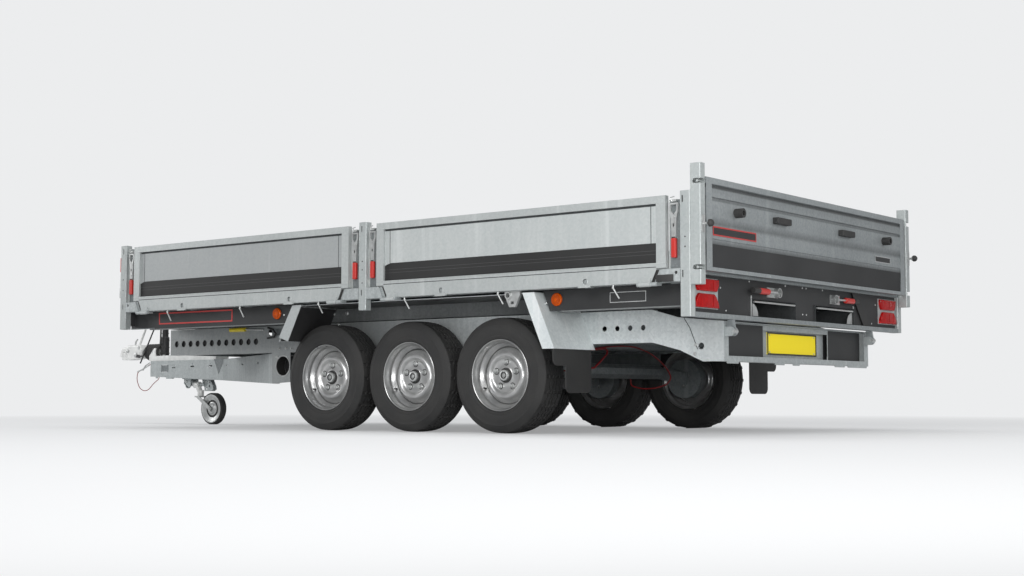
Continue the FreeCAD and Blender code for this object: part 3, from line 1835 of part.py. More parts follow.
def gaiter():
    """Rubber gaiter: shallow folds that draw in to the coupling's neck."""
    length = gaiter_front - collar_front
    fold = length / gaiter_fold_count
    profile = [Vector(collar_front, 0, shaft_height)]
    for step in range(gaiter_fold_count):
        x = collar_front + step * fold
        radius = gaiter_radius - gaiter_draw * step
        profile.append(Vector(x, 0, shaft_height + radius - gaiter_fold_depth))
        profile.append(Vector(x + fold / 2, 0, shaft_height + radius))
    profile.append(Vector(gaiter_front, 0, shaft_height + gaiter_neck_radius))
    profile.append(Vector(gaiter_front, 0, shaft_height))
    face = Part.Face(Part.makePolygon(profile + profile[:1]))
    return face.revolve(Vector(collar_front, 0, shaft_height), along, 360)


def drawshaft_housing():
    """The shaft's seat on the drawbar, with two slanted cheeks beside the gaiter."""
    base = block(
        housing_rear, housing_front, -housing_half_width, housing_half_width, drawbar_top,
        drawbar_top + housing_height
    )
    gaiter_room = rod(
        Vector(collar_front, 0, shaft_height), Vector(housing_front + overrun, 0, shaft_height),
        gaiter_radius + gaiter_play,
    )
    back = block(
        collar_rear, collar_front, -housing_half_width, housing_half_width, drawbar_top, shaft_height
    )
    collar = rod(Vector(collar_rear, 0, shaft_height), Vector(collar_front, 0, shaft_height), collar_radius)
    cheek = side_plate(
        [
            (collar_rear, shaft_height + cheek_rise),
            (collar_rear, drawbar_top),
            (housing_front, drawbar_top),
            (housing_front, drawbar_top + housing_height),
            (collar_front, shaft_height + cheek_rise),
        ],
        housing_half_width - cheek_thick,
        housing_half_width,
    )
    return join([less(base, [gaiter_room]), back, collar] + both_sides([cheek]))


def handbrake_lever():
    """A thin cranked lever on the coupling's side."""
    low_x, low_height = lever_low
    tip_x, tip_height = lever_tip
    share = (lever_pin_height - low_height) / (tip_height - low_height)
    knee = Vector(low_x + (tip_x - low_x) * share, lever_side, lever_pin_height)
    pin = Vector(lever_pin_x, lever_side, lever_pin_height)
    stick = rod(Vector(low_x, lever_side, low_height), Vector(tip_x, lever_side, tip_height), lever_radius)
    arm = rod(knee, pin, lever_radius)
    boss = rod(
        Vector(lever_pin_x, head_half_width, lever_pin_height), pin + Vector(0, lever_radius, 0),
        lever_boss
    )
    return join([stick, arm, boss])


def tipping_pump():
    """Hand pump: a stepped barrel with a collar and a cap."""
    base = drawbar_top + housing_height
    profile = [
        (0, base),
        (pump_radius, base),
        (pump_radius, pump_shoulder),
        (pump_radius - pump_cap / 2, pump_shoulder + pump_cap / 2),
        (pump_radius - pump_cap / 2, pump_top - pump_cap * 2),
        (pump_radius + pump_cap / 2, pump_top - pump_cap),
        (pump_radius + pump_cap / 2, pump_top),
        (0, pump_top),
    ]
    points = [Vector(pump_x + radius, 0, height) for radius, height in profile]
    return [Part.Face(Part.makePolygon(points + points[:1])).revolve(Vector(pump_x, 0, base), upward, 360)]


def jockey_bracket():
    """Ears under the drawbar with rounded feet, and the pin that the arm swings on."""
    slope = (drawbar_front_bottom - drawbar_bend_bottom) / (drawbar_front - drawbar_bend)

    def underside(x):
        return drawbar_bend_bottom + slope * (x - drawbar_bend)

    pieces = []
    for x in (jockey_ear_front, jockey_ear_rear):
        top = underside(x)
        stem = block(
            x, x + jockey_ear_thick, -jockey_ear_half_width, jockey_ear_half_width, jockey_pivot_height, top
        )
        foot = rod(
            Vector(x, 0, jockey_pivot_height), Vector(x + jockey_ear_thick, 0, jockey_pivot_height),
            jockey_ear_drop,
        )
        wings = prism(
            [
                Vector(x, jockey_ear_drop, jockey_pivot_height),
                Vector(x, jockey_ear_half_width, jockey_pivot_height + jockey_ear_thick),
                Vector(x, jockey_ear_half_width, top),
                Vector(x, -jockey_ear_half_width, top),
                Vector(x, -jockey_ear_half_width, jockey_pivot_height + jockey_ear_thick),
                Vector(x, -jockey_ear_drop, jockey_pivot_height),
            ],
            Vector(jockey_ear_thick, 0, 0),
        )
        pieces += [wings.common(stem), foot]
    pin = rod(
        Vector(jockey_ear_rear, 0, jockey_pivot_height),
        Vector(jockey_ear_front + jockey_ear_thick, 0, jockey_pivot_height),
        jockey_pin_radius,
    )
    cheek = side_plate(jockey_cheek_outline, jockey_ear_half_width - jockey_ear_thick, jockey_ear_half_width)
    stop = side_plate(jockey_stop_outline, jockey_stop_inner, jockey_stop_inner + jockey_stop_thick)
    holes = [
        rod(Vector(x, 0, z), Vector(x, jockey_ear_half_width, z), jockey_stop_hole)
        for x, z in jockey_stop_hole_places
    ]
    roof = prism(
        [
            Vector(jockey_stop_outline[1][0], -jockey_ear_half_width, underside(jockey_stop_outline[1][0])),
            Vector(jockey_ear_front, -jockey_ear_half_width, underside(jockey_ear_front)),
            Vector(jockey_ear_front, jockey_ear_half_width, underside(jockey_ear_front)),
            Vector(jockey_stop_outline[1][0], jockey_ear_half_width, underside(jockey_stop_outline[1][0])),
        ],
        Vector(0, 0, -jockey_stop_thick),
    )
    return join(pieces + both_sides([cheek, less(stop, holes)]) + [roof, pin])


def jockey_arm():
    boss_half = jockey_arm_radius * 1.2
    boss = rod(
        Vector(jockey_pivot_x - boss_half, 0, jockey_pivot_height),
        Vector(jockey_pivot_x + boss_half, 0, jockey_pivot_height),
        jockey_arm_radius,
    )
    leg = rod(
        Vector(jockey_pivot_x, 0, jockey_pivot_height),
        Vector(jockey_swivel_x, 0, jockey_arm_bottom + overrun),
        jockey_arm_radius * 0.85,
    )
    head = rod(
        Vector(jockey_swivel_x, 0, jockey_arm_bottom),
        Vector(jockey_swivel_x, 0, jockey_arm_bottom + overrun * 2),
        jockey_arm_radius,
    )
    bore = rod(
        Vector(jockey_ear_rear, 0, jockey_pivot_height),
        Vector(jockey_ear_front, 0, jockey_pivot_height),
        jockey_pin_radius + pivot_play,
    )
    return less(join([boss, leg, head]), [bore])


def jockey_fork():
    crown_top = jockey_arm_bottom - pivot_play
    half = jockey_wheel_width / 2 + jockey_fork_gap
    crown = block(
        jockey_swivel_x - jockey_fork_width / 2,
        jockey_swivel_x + jockey_fork_width / 2,
        -half - jockey_fork_thick,
        half + jockey_fork_thick,
        crown_top - jockey_crown_height,
        crown_top,
    )
    leg_outline = [
        (jockey_swivel_x + jockey_fork_width / 2, crown_top),
        (jockey_swivel_x - jockey_fork_width / 2, crown_top),
        (jockey_wheel_x - jockey_fork_width * 0.4, jockey_wheel_radius),
        (jockey_wheel_x, jockey_wheel_radius - jockey_fork_width * 0.5),
        (jockey_wheel_x + jockey_fork_width * 0.6, jockey_wheel_radius),
    ]
    leg = side_plate(leg_outline, half, half + jockey_fork_thick)
    axle_pin = rod(
        Vector(jockey_wheel_x, -half - jockey_fork_thick, jockey_wheel_radius),
        Vector(jockey_wheel_x, half + jockey_fork_thick, jockey_wheel_radius),
        jockey_axle_radius,
    )
    return join([crown, leg, opposite(leg), axle_pin])


def jockey_wheel():
    """A pressed steel disc with a raised hub and rolled edge, in a narrow solid tyre."""
    half = jockey_wheel_width / 2
    bore = jockey_axle_radius + pivot_play
    side = [
        (bore, half - jockey_dish / 3),
        (jockey_boss_radius, half - jockey_dish / 3),
        (jockey_boss_radius + jockey_dish / 2, half - jockey_dish),
        (jockey_hub_radius - jockey_dish, half - jockey_dish),
        (jockey_hub_radius, half),
        (jockey_wheel_radius - jockey_dish / 2, half),
        (jockey_wheel_radius, half - jockey_dish / 2),
    ]
    profile = side + [(radius, -reach) for radius, reach in reversed(side)]
    return revolve(profile, Vector(jockey_wheel_x, 0, jockey_wheel_radius), 1)


def ram_stage(step):
    """Stage 0 is the trunnion-mounted cylinder; the last stage carries the eye."""
    radius = ram_radii[step]
    top = ram_tube_top + step * ram_collar_step
    bottom = ram_tube_bottom + step * ram_collar_step
    tube = rod(Vector(ram_x, 0, bottom), Vector(ram_x, 0, top), radius)
    last = step == len(ram_radii) - 1
    if last:
        eye = rod(
            Vector(ram_x, -eye_thick / 2, ram_eye_height), Vector(ram_x, eye_thick / 2, ram_eye_height),
            eye_radius
        )
        bore = rod(
            Vector(ram_x, -eye_thick, ram_eye_height),
            Vector(ram_x, eye_thick, ram_eye_height),
            ram_trunnion_radius,
        )
        neck = block(
            ram_x - eye_radius * 0.7,
            ram_x + eye_radius * 0.7,
            -eye_thick / 2,
            eye_thick / 2,
            top - ram_collar_step / 2,
            ram_eye_height,
        )
        return less(join([tube, neck, eye]), [bore])
    inner = ram_radii[step + 1] + ram_wall_gap
    bore = rod(
        Vector(ram_x, 0, bottom + ram_collar_step - pivot_play), Vector(ram_x, 0, top + overrun), inner
    )
    tube = less(tube, [bore])
    if step == 0:
        reach = radius + cradle_gap + cradle_thick
        trunnions = both_sides([
            rod(
                Vector(ram_x, radius - overrun / 2, ram_base_height),
                Vector(ram_x, reach, ram_base_height),
                ram_trunnion_radius,
            )
        ])
        trunnions = [less(trunnion, [rod(
            Vector(ram_x, 0, bottom), Vector(ram_x, 0, top), radius - overrun / 4
        )]) for trunnion in trunnions]
        tube = join([tube] + trunnions)
    return tube


def ram_cradle():
    inner = ram_radii[0] + cradle_gap
    outer = inner + cradle_thick
    plate = block(
        ram_x - cradle_width / 2,
        ram_x + cradle_width / 2,
        inner,
        outer,
        ram_base_height - cradle_drop,
        chassis_cross_bottom,
    )
    hole = rod(
        Vector(ram_x, inner - overrun, ram_base_height),
        Vector(ram_x, outer + overrun, ram_base_height),
        ram_trunnion_radius + ram_trunnion_play,
    )
    plate = less(plate, [hole])
    reach = chassis_half_width - chassis_sheet
    beams = []
    beam_places = (
        ram_x - ram_radii[0] - ram_beam_rear_gap - chassis_cross_width,
        ram_x + ram_radii[0] + ram_beam_front_gap,
    )
    for x in beam_places:
        beams.append(
            less(
                block(x, x + chassis_cross_width, -reach, reach, chassis_cross_bottom, chassis_cross_top),
                [
                    block(
                        x - overrun, x + chassis_cross_width + overrun, chassis_half_width - chassis_flange,
                        chassis_half_width, 0, chassis_bottom + chassis_sheet,
                    ),
                    block(
                        x - overrun, x + chassis_cross_width + overrun, -chassis_half_width,
                        chassis_flange - chassis_half_width, 0, chassis_bottom + chassis_sheet,
                    ),
                ],
            )
        )
    tie = block(
        beam_places[0],
        beam_places[1] + chassis_cross_width,
        inner,
        outer,
        chassis_cross_bottom - cradle_thick,
        chassis_cross_bottom,
    )
    return join(beams + both_sides([plate, tie]))


def ram_eye_brackets():
    inner = eye_thick / 2 + eye_bracket_gap
    ear = block(
        ram_x - eye_radius,
        ram_x + eye_radius,
        inner,
        inner + eye_bracket_thick,
        ram_eye_height - eye_radius,
        subframe_top,
    )
    hole = rod(
        Vector(ram_x, inner - overrun, ram_eye_height),
        Vector(ram_x, inner + overrun, ram_eye_height),
        ram_trunnion_radius,
    )
    return both_sides([less(ear, [hole])])


def cable(route, radius):
    """A cable along straight runs joined by tangent arcs."""
    points = [Vector(*point) for point in route]
    edges = []
    here = points[0]
    for before, corner, after in zip(points, points[1:], points[2:]):
        back = before - corner
        ahead = after - corner
        half_turn = (math.pi - back.getAngle(ahead)) / 2
        reach = bend_share * min(back.Length, ahead.Length)
        bend = reach / math.tan(half_turn)
        back.normalize()
        ahead.normalize()
        inward = (back + ahead).normalize()
        start = corner + back * reach
        end = corner + ahead * reach
        middle = corner + inward * (bend / math.cos(half_turn) - bend)
        edges.append(Part.LineSegment(here, start).toShape())
        edges.append(Part.Arc(start, middle, end).toShape())
        here = end
    edges.append(Part.LineSegment(here, points[-1]).toShape())
    section = Part.Wire([Part.makeCircle(radius, points[0], points[1] - points[0])])
    return Part.Wire(edges).makePipeShell([section], True, True)


def main():
    os.makedirs("parts", exist_ok=True)
    save("chassis_rails", both_sides([chassis_rail()]))
    members = [chassis_cross(x) for x in chassis_cross_places]
    save("chassis_crossmembers", members + [cross_tube()] + both_sides([axle_carrier()]))
    save("drawbar", [drawbar()])
    save("rear_frame", [join([rear_frame(), plate_bracket()] + infill_panels())])
    save("number_plate", [
        block(
            plate_x, plate_x + plate_thick, -plate_width / 2, plate_width / 2, plate_bottom,
            plate_bottom + plate_height,
        )
    ])
    save("axles", [axle(x) for x in axle_places])
    save("mudguards", both_sides([mudguard()]))
    save("mudflaps", both_sides([mudflap()]))
    save("coupling_head", [coupling_head()])
    save("coupling_gaiter", [gaiter()])
    save("drawshaft_housing", [drawshaft_housing()])
    save("handbrake_lever", [handbrake_lever()])
    save("tipping_pump", tipping_pump())
    save("jockey_bracket", [jockey_bracket()])
    save("ram_cradle", [ram_cradle()])
    save("brake_cables", [cable(brake_route, cable_radius)])
    save("breakaway_cable", [cable(breakaway_route, breakaway_radius)])

    save("bed_floor", [bed_floor()])
    save("bed_subframe", bed_subframe() + [front_rail()] + skirt_lips())
    save("bed_crossmembers", bed_crossmembers())
    save("bed_rear_frame", [rear_structure()])
    hinge_mounts = []
    for rear, front in side_spans().values():
        hinge_mounts += side_hinge_mounts(rear, front)
    save("bed_side_rails", both_sides([side_rails()]))
    save("panel_hinges", both_sides(hinge_mounts) + head_hinge_mounts())
    save("bed_posts", bed_posts())
    save("tailgate_posts", tall_posts())
    save("skirts", skirts())
    save("rear_sheet", [rear_sheet()])
    save("ramp_trays", ramp_trays())
    save("tail_lamps", tail_lamps())
    save("marker_lamps", marker_lamps())
    save("lashing_fittings", lashing_fittings())
    save("latches", latches())
    save("latch_grips", latch_grips())

    for name, (rear, front) in side_spans().items():
        panel = drop_side(rear, front)
        save("drop_side_left_" + name, [panel])
        save("drop_side_right_" + name, [opposite(panel)])
    save("headboard", [headboard()])
    save("tailgate", [tailgate()])
    save("tailgate_buffers", tailgate_buffers())

    save("jockey_arm", [jockey_arm()])
    save("jockey_fork", [jockey_fork()])
    save("jockey_wheel", [jockey_wheel()])

    save("ram_cylinder", [ram_stage(0)])
    for step in range(1, len(ram_radii)):
        save("ram_stage_" + str(step), [ram_stage(step)])

    for x, name in zip(axle_places, axle_names):
        for side, word in ((1, "left"), (-1, "right")):
            save("rim_" + word + "_" + name, [rim(x, side)])
            save("tyre_" + word + "_" + name, [tyre(x, side)])


main()
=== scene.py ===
import bpy, bmesh, math
from mathutils import Matrix, Vector


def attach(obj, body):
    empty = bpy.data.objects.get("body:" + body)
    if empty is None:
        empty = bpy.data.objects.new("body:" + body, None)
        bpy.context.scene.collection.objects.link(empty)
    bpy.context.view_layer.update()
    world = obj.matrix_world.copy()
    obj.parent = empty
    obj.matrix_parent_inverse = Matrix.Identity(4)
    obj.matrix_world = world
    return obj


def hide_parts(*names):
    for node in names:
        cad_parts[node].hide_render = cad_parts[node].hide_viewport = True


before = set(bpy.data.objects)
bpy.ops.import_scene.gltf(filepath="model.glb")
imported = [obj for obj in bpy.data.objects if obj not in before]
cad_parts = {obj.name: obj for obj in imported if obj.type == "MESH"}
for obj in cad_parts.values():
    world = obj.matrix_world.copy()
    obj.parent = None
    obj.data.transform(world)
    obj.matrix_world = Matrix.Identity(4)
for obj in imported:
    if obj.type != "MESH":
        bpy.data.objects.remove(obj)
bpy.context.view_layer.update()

# Sizes are in mm: x forward from the rear of the bed, y to the trailer's left, z up from the floor.
midLength = 2704  # x of the frame's own zero
sides = {"left": 1, "right": -1}
ends = ("rear", "middle", "front")


def at(x, y, z):
    return Vector(((x - midLength) / 1000, y / 1000, z / 1000))


# A point of the left side, moved to the side that is being made.
def onSide(point, side):
    return (point[0], side * point[1], point[2])


# A screen colour from 0 to 255 as the renderer's linear one.
def tone(r, g, b):
    parts = [c / 255 for c in (r, g, b)]
    return tuple(p / 12.92 if p < .04045 else ((p + .055) / 1.055) ** 2.4 for p in parts)


def shaded(colour, share):
    return tuple(c * share for c in colour)


def setStops(ramp, stops):
    while len(ramp) < len(stops):
        ramp.new(0)
    for stop, (place, grey) in zip(ramp, stops):
        stop.position = place
        stop.color = (grey, grey, grey, 1)


# A shader socket that takes part in sums.
class Val:
    def __init__(self, finish, socket):
        self.finish = finish
        self.socket = socket

    def maths(self, operation, first, second):
        return self.finish.node("ShaderNodeMath", {"operation": operation}, {0: first, 1: second})

    def __add__(self, other):
        return self.maths("ADD", self, other)

    def __radd__(self, other):
        return self.maths("ADD", other, self)

    def __sub__(self, other):
        return self.maths("SUBTRACT", self, other)

    def __rsub__(self, other):
        return self.maths("SUBTRACT", other, self)

    def __mul__(self, other):
        return self.maths("MULTIPLY", self, other)

    def __rmul__(self, other):
        return self.maths("MULTIPLY", other, self)


# One material and the few node recipes that all of them share.
class Finish:
    def __init__(self, name, **fixed):
        self.material = bpy.data.materials.new(name)
        self.material.use_nodes = True
        self.tree = self.material.node_tree
        self.shader = self.tree.nodes["Principled BSDF"]
        for socket, value in fixed.items():
            self.put(socket.replace("_", " "), value)

    def node(self, kind, settings=None, inputs=None, output=0):
        made = self.tree.nodes.new(kind)
        for key, value in (settings or {}).items():
            if key == "stops":
                setStops(made.color_ramp.elements, value)
            else:
                setattr(made, key, value)
        for key, value in (inputs or {}).items():
            self.feed(made.inputs[key], value)
        return Val(self, made.outputs[output])

    def feed(self, socket, value):
        if isinstance(value, Val):
            self.tree.links.new(value.socket, socket)
        else:
            socket.default_value = value

    def put(self, socket, value):
        self.feed(self.shader.inputs[socket], value)

    def place(self, stretch=(1, 1, 1)):
        spot = self.node("ShaderNodeTexCoord", output="Object")
        return self.node("ShaderNodeMapping", {}, {"Vector": spot, "Scale": stretch})

    def noise(self, scale, stretch=(1, 1, 1), detail=3.0):
        inputs = {"Vector": self.place(stretch), "Scale": scale, "Detail": detail}
        return self.node("ShaderNodeTexNoise", {}, inputs)

    def ramp(self, value, *stops):
        return self.node("ShaderNodeValToRGB", {"stops": stops}, {"Fac": value})

    def blend(self, mask, low, high):
        tones = [value if isinstance(value, Val) else (*value, 1) for value in (low, high)]
        return self.node("ShaderNodeMix", {"data_type": "RGBA"}, {0: mask, 6: tones[0], 7: tones[1]}, 2)

    def bump(self, height, strength, distance=.001):
        inputs = {"Height": height, "Strength": strength, "Distance": distance}
        self.put("Normal", self.node("ShaderNodeBump", {}, inputs))

    # Nearly 1 where the surface looks at the floor, for painted shade on the undersides.
    def facingDown(self):
        normal = self.node("ShaderNodeNewGeometry", output="Normal")
        parts = self.node("ShaderNodeSeparateXYZ", {}, {"Vector": normal}, "Z")
        return self.ramp(.5 - parts * .5, (.55, 0), (.95, 1))


# Noise scales and details, shares of the mix, and how rough and how deep each finish is.
zincGrain = {
    "cloud": {"scale": 2.4, "detail": 5},
    "streak": {"scale": 1.0, "stretch": (42, 42, 1.6), "detail": 4},
    "run": {"scale": 1.0, "stretch": (17, 17, .7), "detail": 3},
    "cells": 95.0,
    "cloudShare": .78,
    "flakeShare": .22,
    "mask": ((.28, 0), (.70, 1)),
    "runMask": ((.60, 0), (.74, 1)),
    "runShare": .45,
    "runPale": 1.3,
    "palest": .9,
    "darkTint": (.97, 1, 1.01),  # a little bluer
    "lightTint": (.99, 1, 1),
    # How dark the painted shade of the bands goes.
    "paintedShadeDark": .2,
    # How strong and how dark the painted shade on faces that look at the floor is.
    "underShadeStrength": .3,
    "underShadeDark": .55,
    "cloudRough": .16,
    "flakeRough": .10,
    "flakeBump": .25,
    "streakBump": .4,
    "bump": {"strength": .10},
}


# Bands are painted shade: they give an axis in metres, a start, a length, and how dark the painted shade
# stands at places along it.
def galvanised(name, colour, spread=.14, roughness=.44, metallic=.4, streaks=.36, paintedShadeBands=()):
    grain = zincGrain
    look = Finish(name, Metallic=metallic)
    cloud = look.noise(**grain["cloud"])
    streak = look.noise(**grain["streak"])
    inputs = {"Vector": look.place(), "Scale": grain["cells"]}
    cells = look.node("ShaderNodeTexVoronoi", {}, inputs, "Color")
    flake = look.node("ShaderNodeSeparateColor", {}, {"Color": cells})
    mixed = cloud * (grain["cloudShare"] - streaks) + streak * streaks + flake * grain["flakeShare"]
    mask = look.ramp(mixed, *grain["mask"])
    low = tuple(c * (1 - spread) * t for c, t in zip(colour, grain["darkTint"]))
    high = tuple(c * (1 + spread) * t for c, t in zip(colour, grain["lightTint"]))
    runs = look.ramp(look.noise(**grain["run"]), *grain["runMask"])
    clean = look.blend(mask, low, high)
    pale = tuple(min(c * (grain["runPale"] + spread), grain["palest"]) for c in colour)
    streaked = look.blend(runs * grain["runShare"], clean, pale)
    if paintedShadeBands:
        spot = look.node("ShaderNodeTexCoord", output="Object")
        axis, start, length, stops = paintedShadeBands
        along = look.node("ShaderNodeSeparateXYZ", {}, {"Vector": spot}, axis)
        places = [((place - start) / length, dark) for place, dark in stops]
        paintedShadeMask = look.ramp((along - start) * (1 / length), *places)
        streaked = look.blend(paintedShadeMask, streaked, shaded(colour, grain["paintedShadeDark"]))
    # Painted shade: faces that look at the floor are darkened.
    underShadeMask = look.facingDown() * grain["underShadeStrength"]
    look.put("Base Color", look.blend(underShadeMask, streaked, shaded(colour, grain["underShadeDark"])))
    look.put("Roughness", roughness + grain["cloudRough"] * cloud - grain["flakeRough"] * flake)
    look.bump(flake * grain["flakeBump"] + cloud + streak * grain["streakBump"], **grain["bump"])
    return look.material


paintGrain = {
    "cloud": {"scale": 3.2, "detail": 6},
    "grit": {"scale": 190, "detail": 2},
    "mask": ((.38, 0), (.72, 1)),
    "dustGrey": .40,
    "dustShare": .35,
    "rough": .16,
    "bump": {"strength": .06, "distance": .0006},
}


def painted(name, colour, roughness, dust=.10, coat=0.0):
    grain = paintGrain
    look = Finish(name, Coat_Weight=coat)
    cloud = look.noise(**grain["cloud"])
    grit = look.noise(**grain["grit"])
    mask = look.ramp(cloud, *grain["mask"])
    dusty = tuple(c + dust * (grain["dustGrey"] - c) * grain["dustShare"] for c in colour)
    look.put("Base Color", look.blend(mask, colour, dusty))
    look.put("Roughness", roughness + grain["rough"] * cloud)
    look.bump(grit, **grain["bump"])
    return look.material


rubberGrain = {
    "cloud": {"scale": 7, "detail": 6},
    "pores": {"scale": 420, "detail": 2},
    "mask": ((.36, 0), (.7, 1)),
    "worn": (1.7, 1.66, 1.6),  # how much paler it is where it is worn
    "rough": .2,
    "bump": {"strength": .22, "distance": .0006},
}


def rubbery(name, grey, roughness=.62):
    grain = rubberGrain
    look = Finish(name)
    cloud = look.noise(**grain["cloud"])
    pores = look.noise(**grain["pores"])
    mask = look.ramp(cloud, *grain["mask"])
    worn = tuple(grey * share for share in grain["worn"])
    look.put("Base Color", look.blend(mask, (grey, grey, grey), worn))
    look.put("Roughness", roughness + grain["rough"] * cloud)
    look.bump(pores, **grain["bump"])
    return look.material


metalGrain = {
    "detail": 5,
    "mask": ((.35, 0), (.7, 1)),
    "dull": .8,
    "rough": .2,
    "bump": {"strength": .12, "distance": .0006},
}


def brightMetal(name, colour, roughness=.28, metallic=.9, scale=40.0):
    grain = metalGrain
    look = Finish(name, Metallic=metallic)
    cloud = look.noise(scale, detail=grain["detail"])
    mask = look.ramp(cloud, *grain["mask"])
    look.put("Base Color", look.blend(mask, shaded(colour, grain["dull"]), colour))
    look.put("Roughness", roughness + grain["rough"] * cloud)
    look.bump(cloud, **grain["bump"])
    return look.material


wheelGrain = {
    "cloud": {"scale": 14, "detail": 5},
    "flake": {"scale": 900, "detail": 1},
    "cloudShare": .8,
    "flakeShare": .2,
    "mask": ((.34, 0), (.66, 1)),
    "tones": (tone(164, 165, 165), tone(192, 192, 191)),
    "leastRough": .24,
    "rough": .12,
    "bump": {"strength": .05, "distance": .0004},
}


def wheelPaint(name):
    grain = wheelGrain
    look = Finish(name, Metallic=.8, Coat_Weight=.2, Coat_Roughness=.2)
    cloud = look.noise(**grain["cloud"])
    flake = look.noise(**grain["flake"])
    mask = look.ramp(cloud * grain["cloudShare"] + flake * grain["flakeShare"], *grain["mask"])
    look.put("Base Color", look.blend(mask, *grain["tones"]))
    look.put("Roughness", grain["leastRough"] + grain["rough"] * cloud)
    look.bump(flake, **grain["bump"])
    return look.material


lensGrain = {
    "ribs": {"Scale": 60.0, "Distortion": .4},
    "cloud": {"scale": 30, "detail": 3},
    "ribShare": .5,
    "mask": ((.3, 0), (.75, 1)),
    "bump": {"strength": .25, "distance": .0008},
}


def lens(name, colour, depth=.5):
    grain = lensGrain
    look = Finish(name, Roughness=.2, Specular_IOR_Level=.25)
    inputs = {"Vector": look.place(), **grain["ribs"]}
    ribs = look.node("ShaderNodeTexWave", {"bands_direction": "Y"}, inputs)
    cloud = look.noise(**grain["cloud"])
    share = grain["ribShare"]
    mask = look.ramp(ribs * share + cloud * (1 - share), *grain["mask"])
    look.put("Base Color", look.blend(mask, shaded(colour, depth), colour))
    look.bump(ribs, **grain["bump"])
    return look.material


# Painted shade bands on the tailgate, as z in metres: under its top rim, in its groove and channel, and above
# its low panel.
gateShadeBands = ("Z", .7, .6, (
    (.70, 0), (.870, .9), (.901, .1), (.915, 0), (.955, .05), (.972, .5), (.990, .25), (1.003, .05),
    (1.070, 0), (1.077, .4), (1.089, .4), (1.093, .05), (1.127, .2), (1.133, .8), (1.147, .8), (1.151, 0),
))
# Painted shade on the posts, darker towards the front.
postShadeBands = ("X", -3.0, 6.0, ((-3.0, 0), (.4, 0), (1.2, .16), (3.0, .16)))
# Painted shade on the front part of the front mudguards.
guardShadeBands = ("X", -3.0, 6.0, ((-3.0, 0), (-.36, 0), (-.22, .5), (.2, .5)))
# Painted shade on the chassis rails: darker at the rear corner and under the bed towards the front.
railShadeBands = ("X", -3.0, 6.0, (
    (-3.0, .3), (-2.6, .3), (-2.35, 0), (-1.2, 0), (-.6, .55), (.2, .72), (3.0, .66),
))

looks = {
    "galvanised": galvanised("galvanised sheet", tone(166, 170, 170)),
    "galvanisedBright": galvanised("fresh galvanised post with painted shade", tone(172, 176, 175), .10, .40, paintedShadeBands=postShadeBands),
    # Also the plates of painted shade behind the latches, behind the hose and on the drawbar.
    "galvanisedDull": galvanised("weathered galvanised frame and painted shade", tone(118, 122, 123), .2, .5),
    # The two panel skins are one sheet in two painted lights: the rear one painted lighter, the front one
    # darker.
    "skinRearLit": galvanised("rear panel skin in painted light", tone(182, 185, 184), .07, .44, .3),
    # Painted shade: darker copies of the panel frame and of the galvanised sheet for the faces that look to
    # the rear.
    "gateRim": galvanised("tailgate frame in painted shade", tone(146, 150, 151), .10, .42),
    "rearSectionShaded": galvanised("rear frame section in painted shade", tone(138, 142, 143), .14, .46),
    "railSheet": galvanised("chassis rail with painted shade", tone(212, 216, 216), .14, .42, .4, .36, railShadeBands),
    # Painted shade: the bed frame between the mudguards and the skirts, darker than the galvanised sheet.
    "subframe": galvanised("bed frame in painted shade", tone(114, 116, 116), .14, .5),
    "guardSheet": galvanised("mudguard sheet with painted shade", tone(214, 218, 218), .10, .36, .3, .36, guardShadeBands),
    "railSkirt": galvanised("streaked rail", tone(166, 170, 170), .20, .46, .4, .5),
    "frameRim": galvanised("panel frame", tone(178, 181, 180), .08, .40),
    # The front panel's skin, painted darker than the rear one's.
    "skin": galvanised("front panel skin in painted shade", tone(160, 162, 162), .04, .44, .3),
    "gateSkin": galvanised("tailgate skin in painted shade", tone(144, 148, 149), .12, .42, .4, .36, gateShadeBands),
    "shade": galvanised("sheet in shade", tone(58, 60, 61), .2, .6, .2),
    "floorPlate": galvanised("scuffed floor plate", tone(132, 134, 134), .22, .46),
    "darkPanel": painted("anthracite panel", tone(30, 31, 32), .46),
    "stripe": painted("anthracite stripe", tone(24, 24, 24), .5, .04),
    "stripeLine": painted("grey line", tone(60, 60, 60), .44, .04),
    # Also the black sheets of painted shade under the mudguards.
    "blackPaint": painted("black paint and painted shade", tone(34, 34, 35), .34),
    "castWhite": brightMetal("pale zinc casting", tone(230, 231, 229), .38, .25, 18.0),
    "zinc": brightMetal("bright zinc fittings", tone(196, 198, 197), .28, .7),
    "rod": brightMetal("chromed tube", tone(224, 224, 224), .10),
    "wheelPaint": wheelPaint("silver wheel paint"),
    "tyreRubber": rubbery("tyre rubber", .0145),
    "softRubber": rubbery("black rubber", .018, .5),
    "redGrip": painted("red grip", tone(178, 34, 26), .30, .02, .3),
    "redLine": painted("red border", tone(176, 52, 50), .40, .02),
    "whiteLine": painted("silver line", tone(176, 178, 178), .40, .02),
    "redLens": lens("red lamp lens", tone(186, 4, 6), .4),
    "amberLens": lens("amber lamp lens", tone(196, 78, 0), .6),
    "yellowPlate": painted("yellow reflective plate", tone(250, 226, 0), .36, .02),
    "yellowTube": painted("yellow sleeve", tone(206, 186, 34), .36, .02),
    "redCable": painted("red cable sheath", tone(128, 12, 14), .4, .02),
    "jockeyTyre": rubbery("jockey wheel rubber", .020),
}

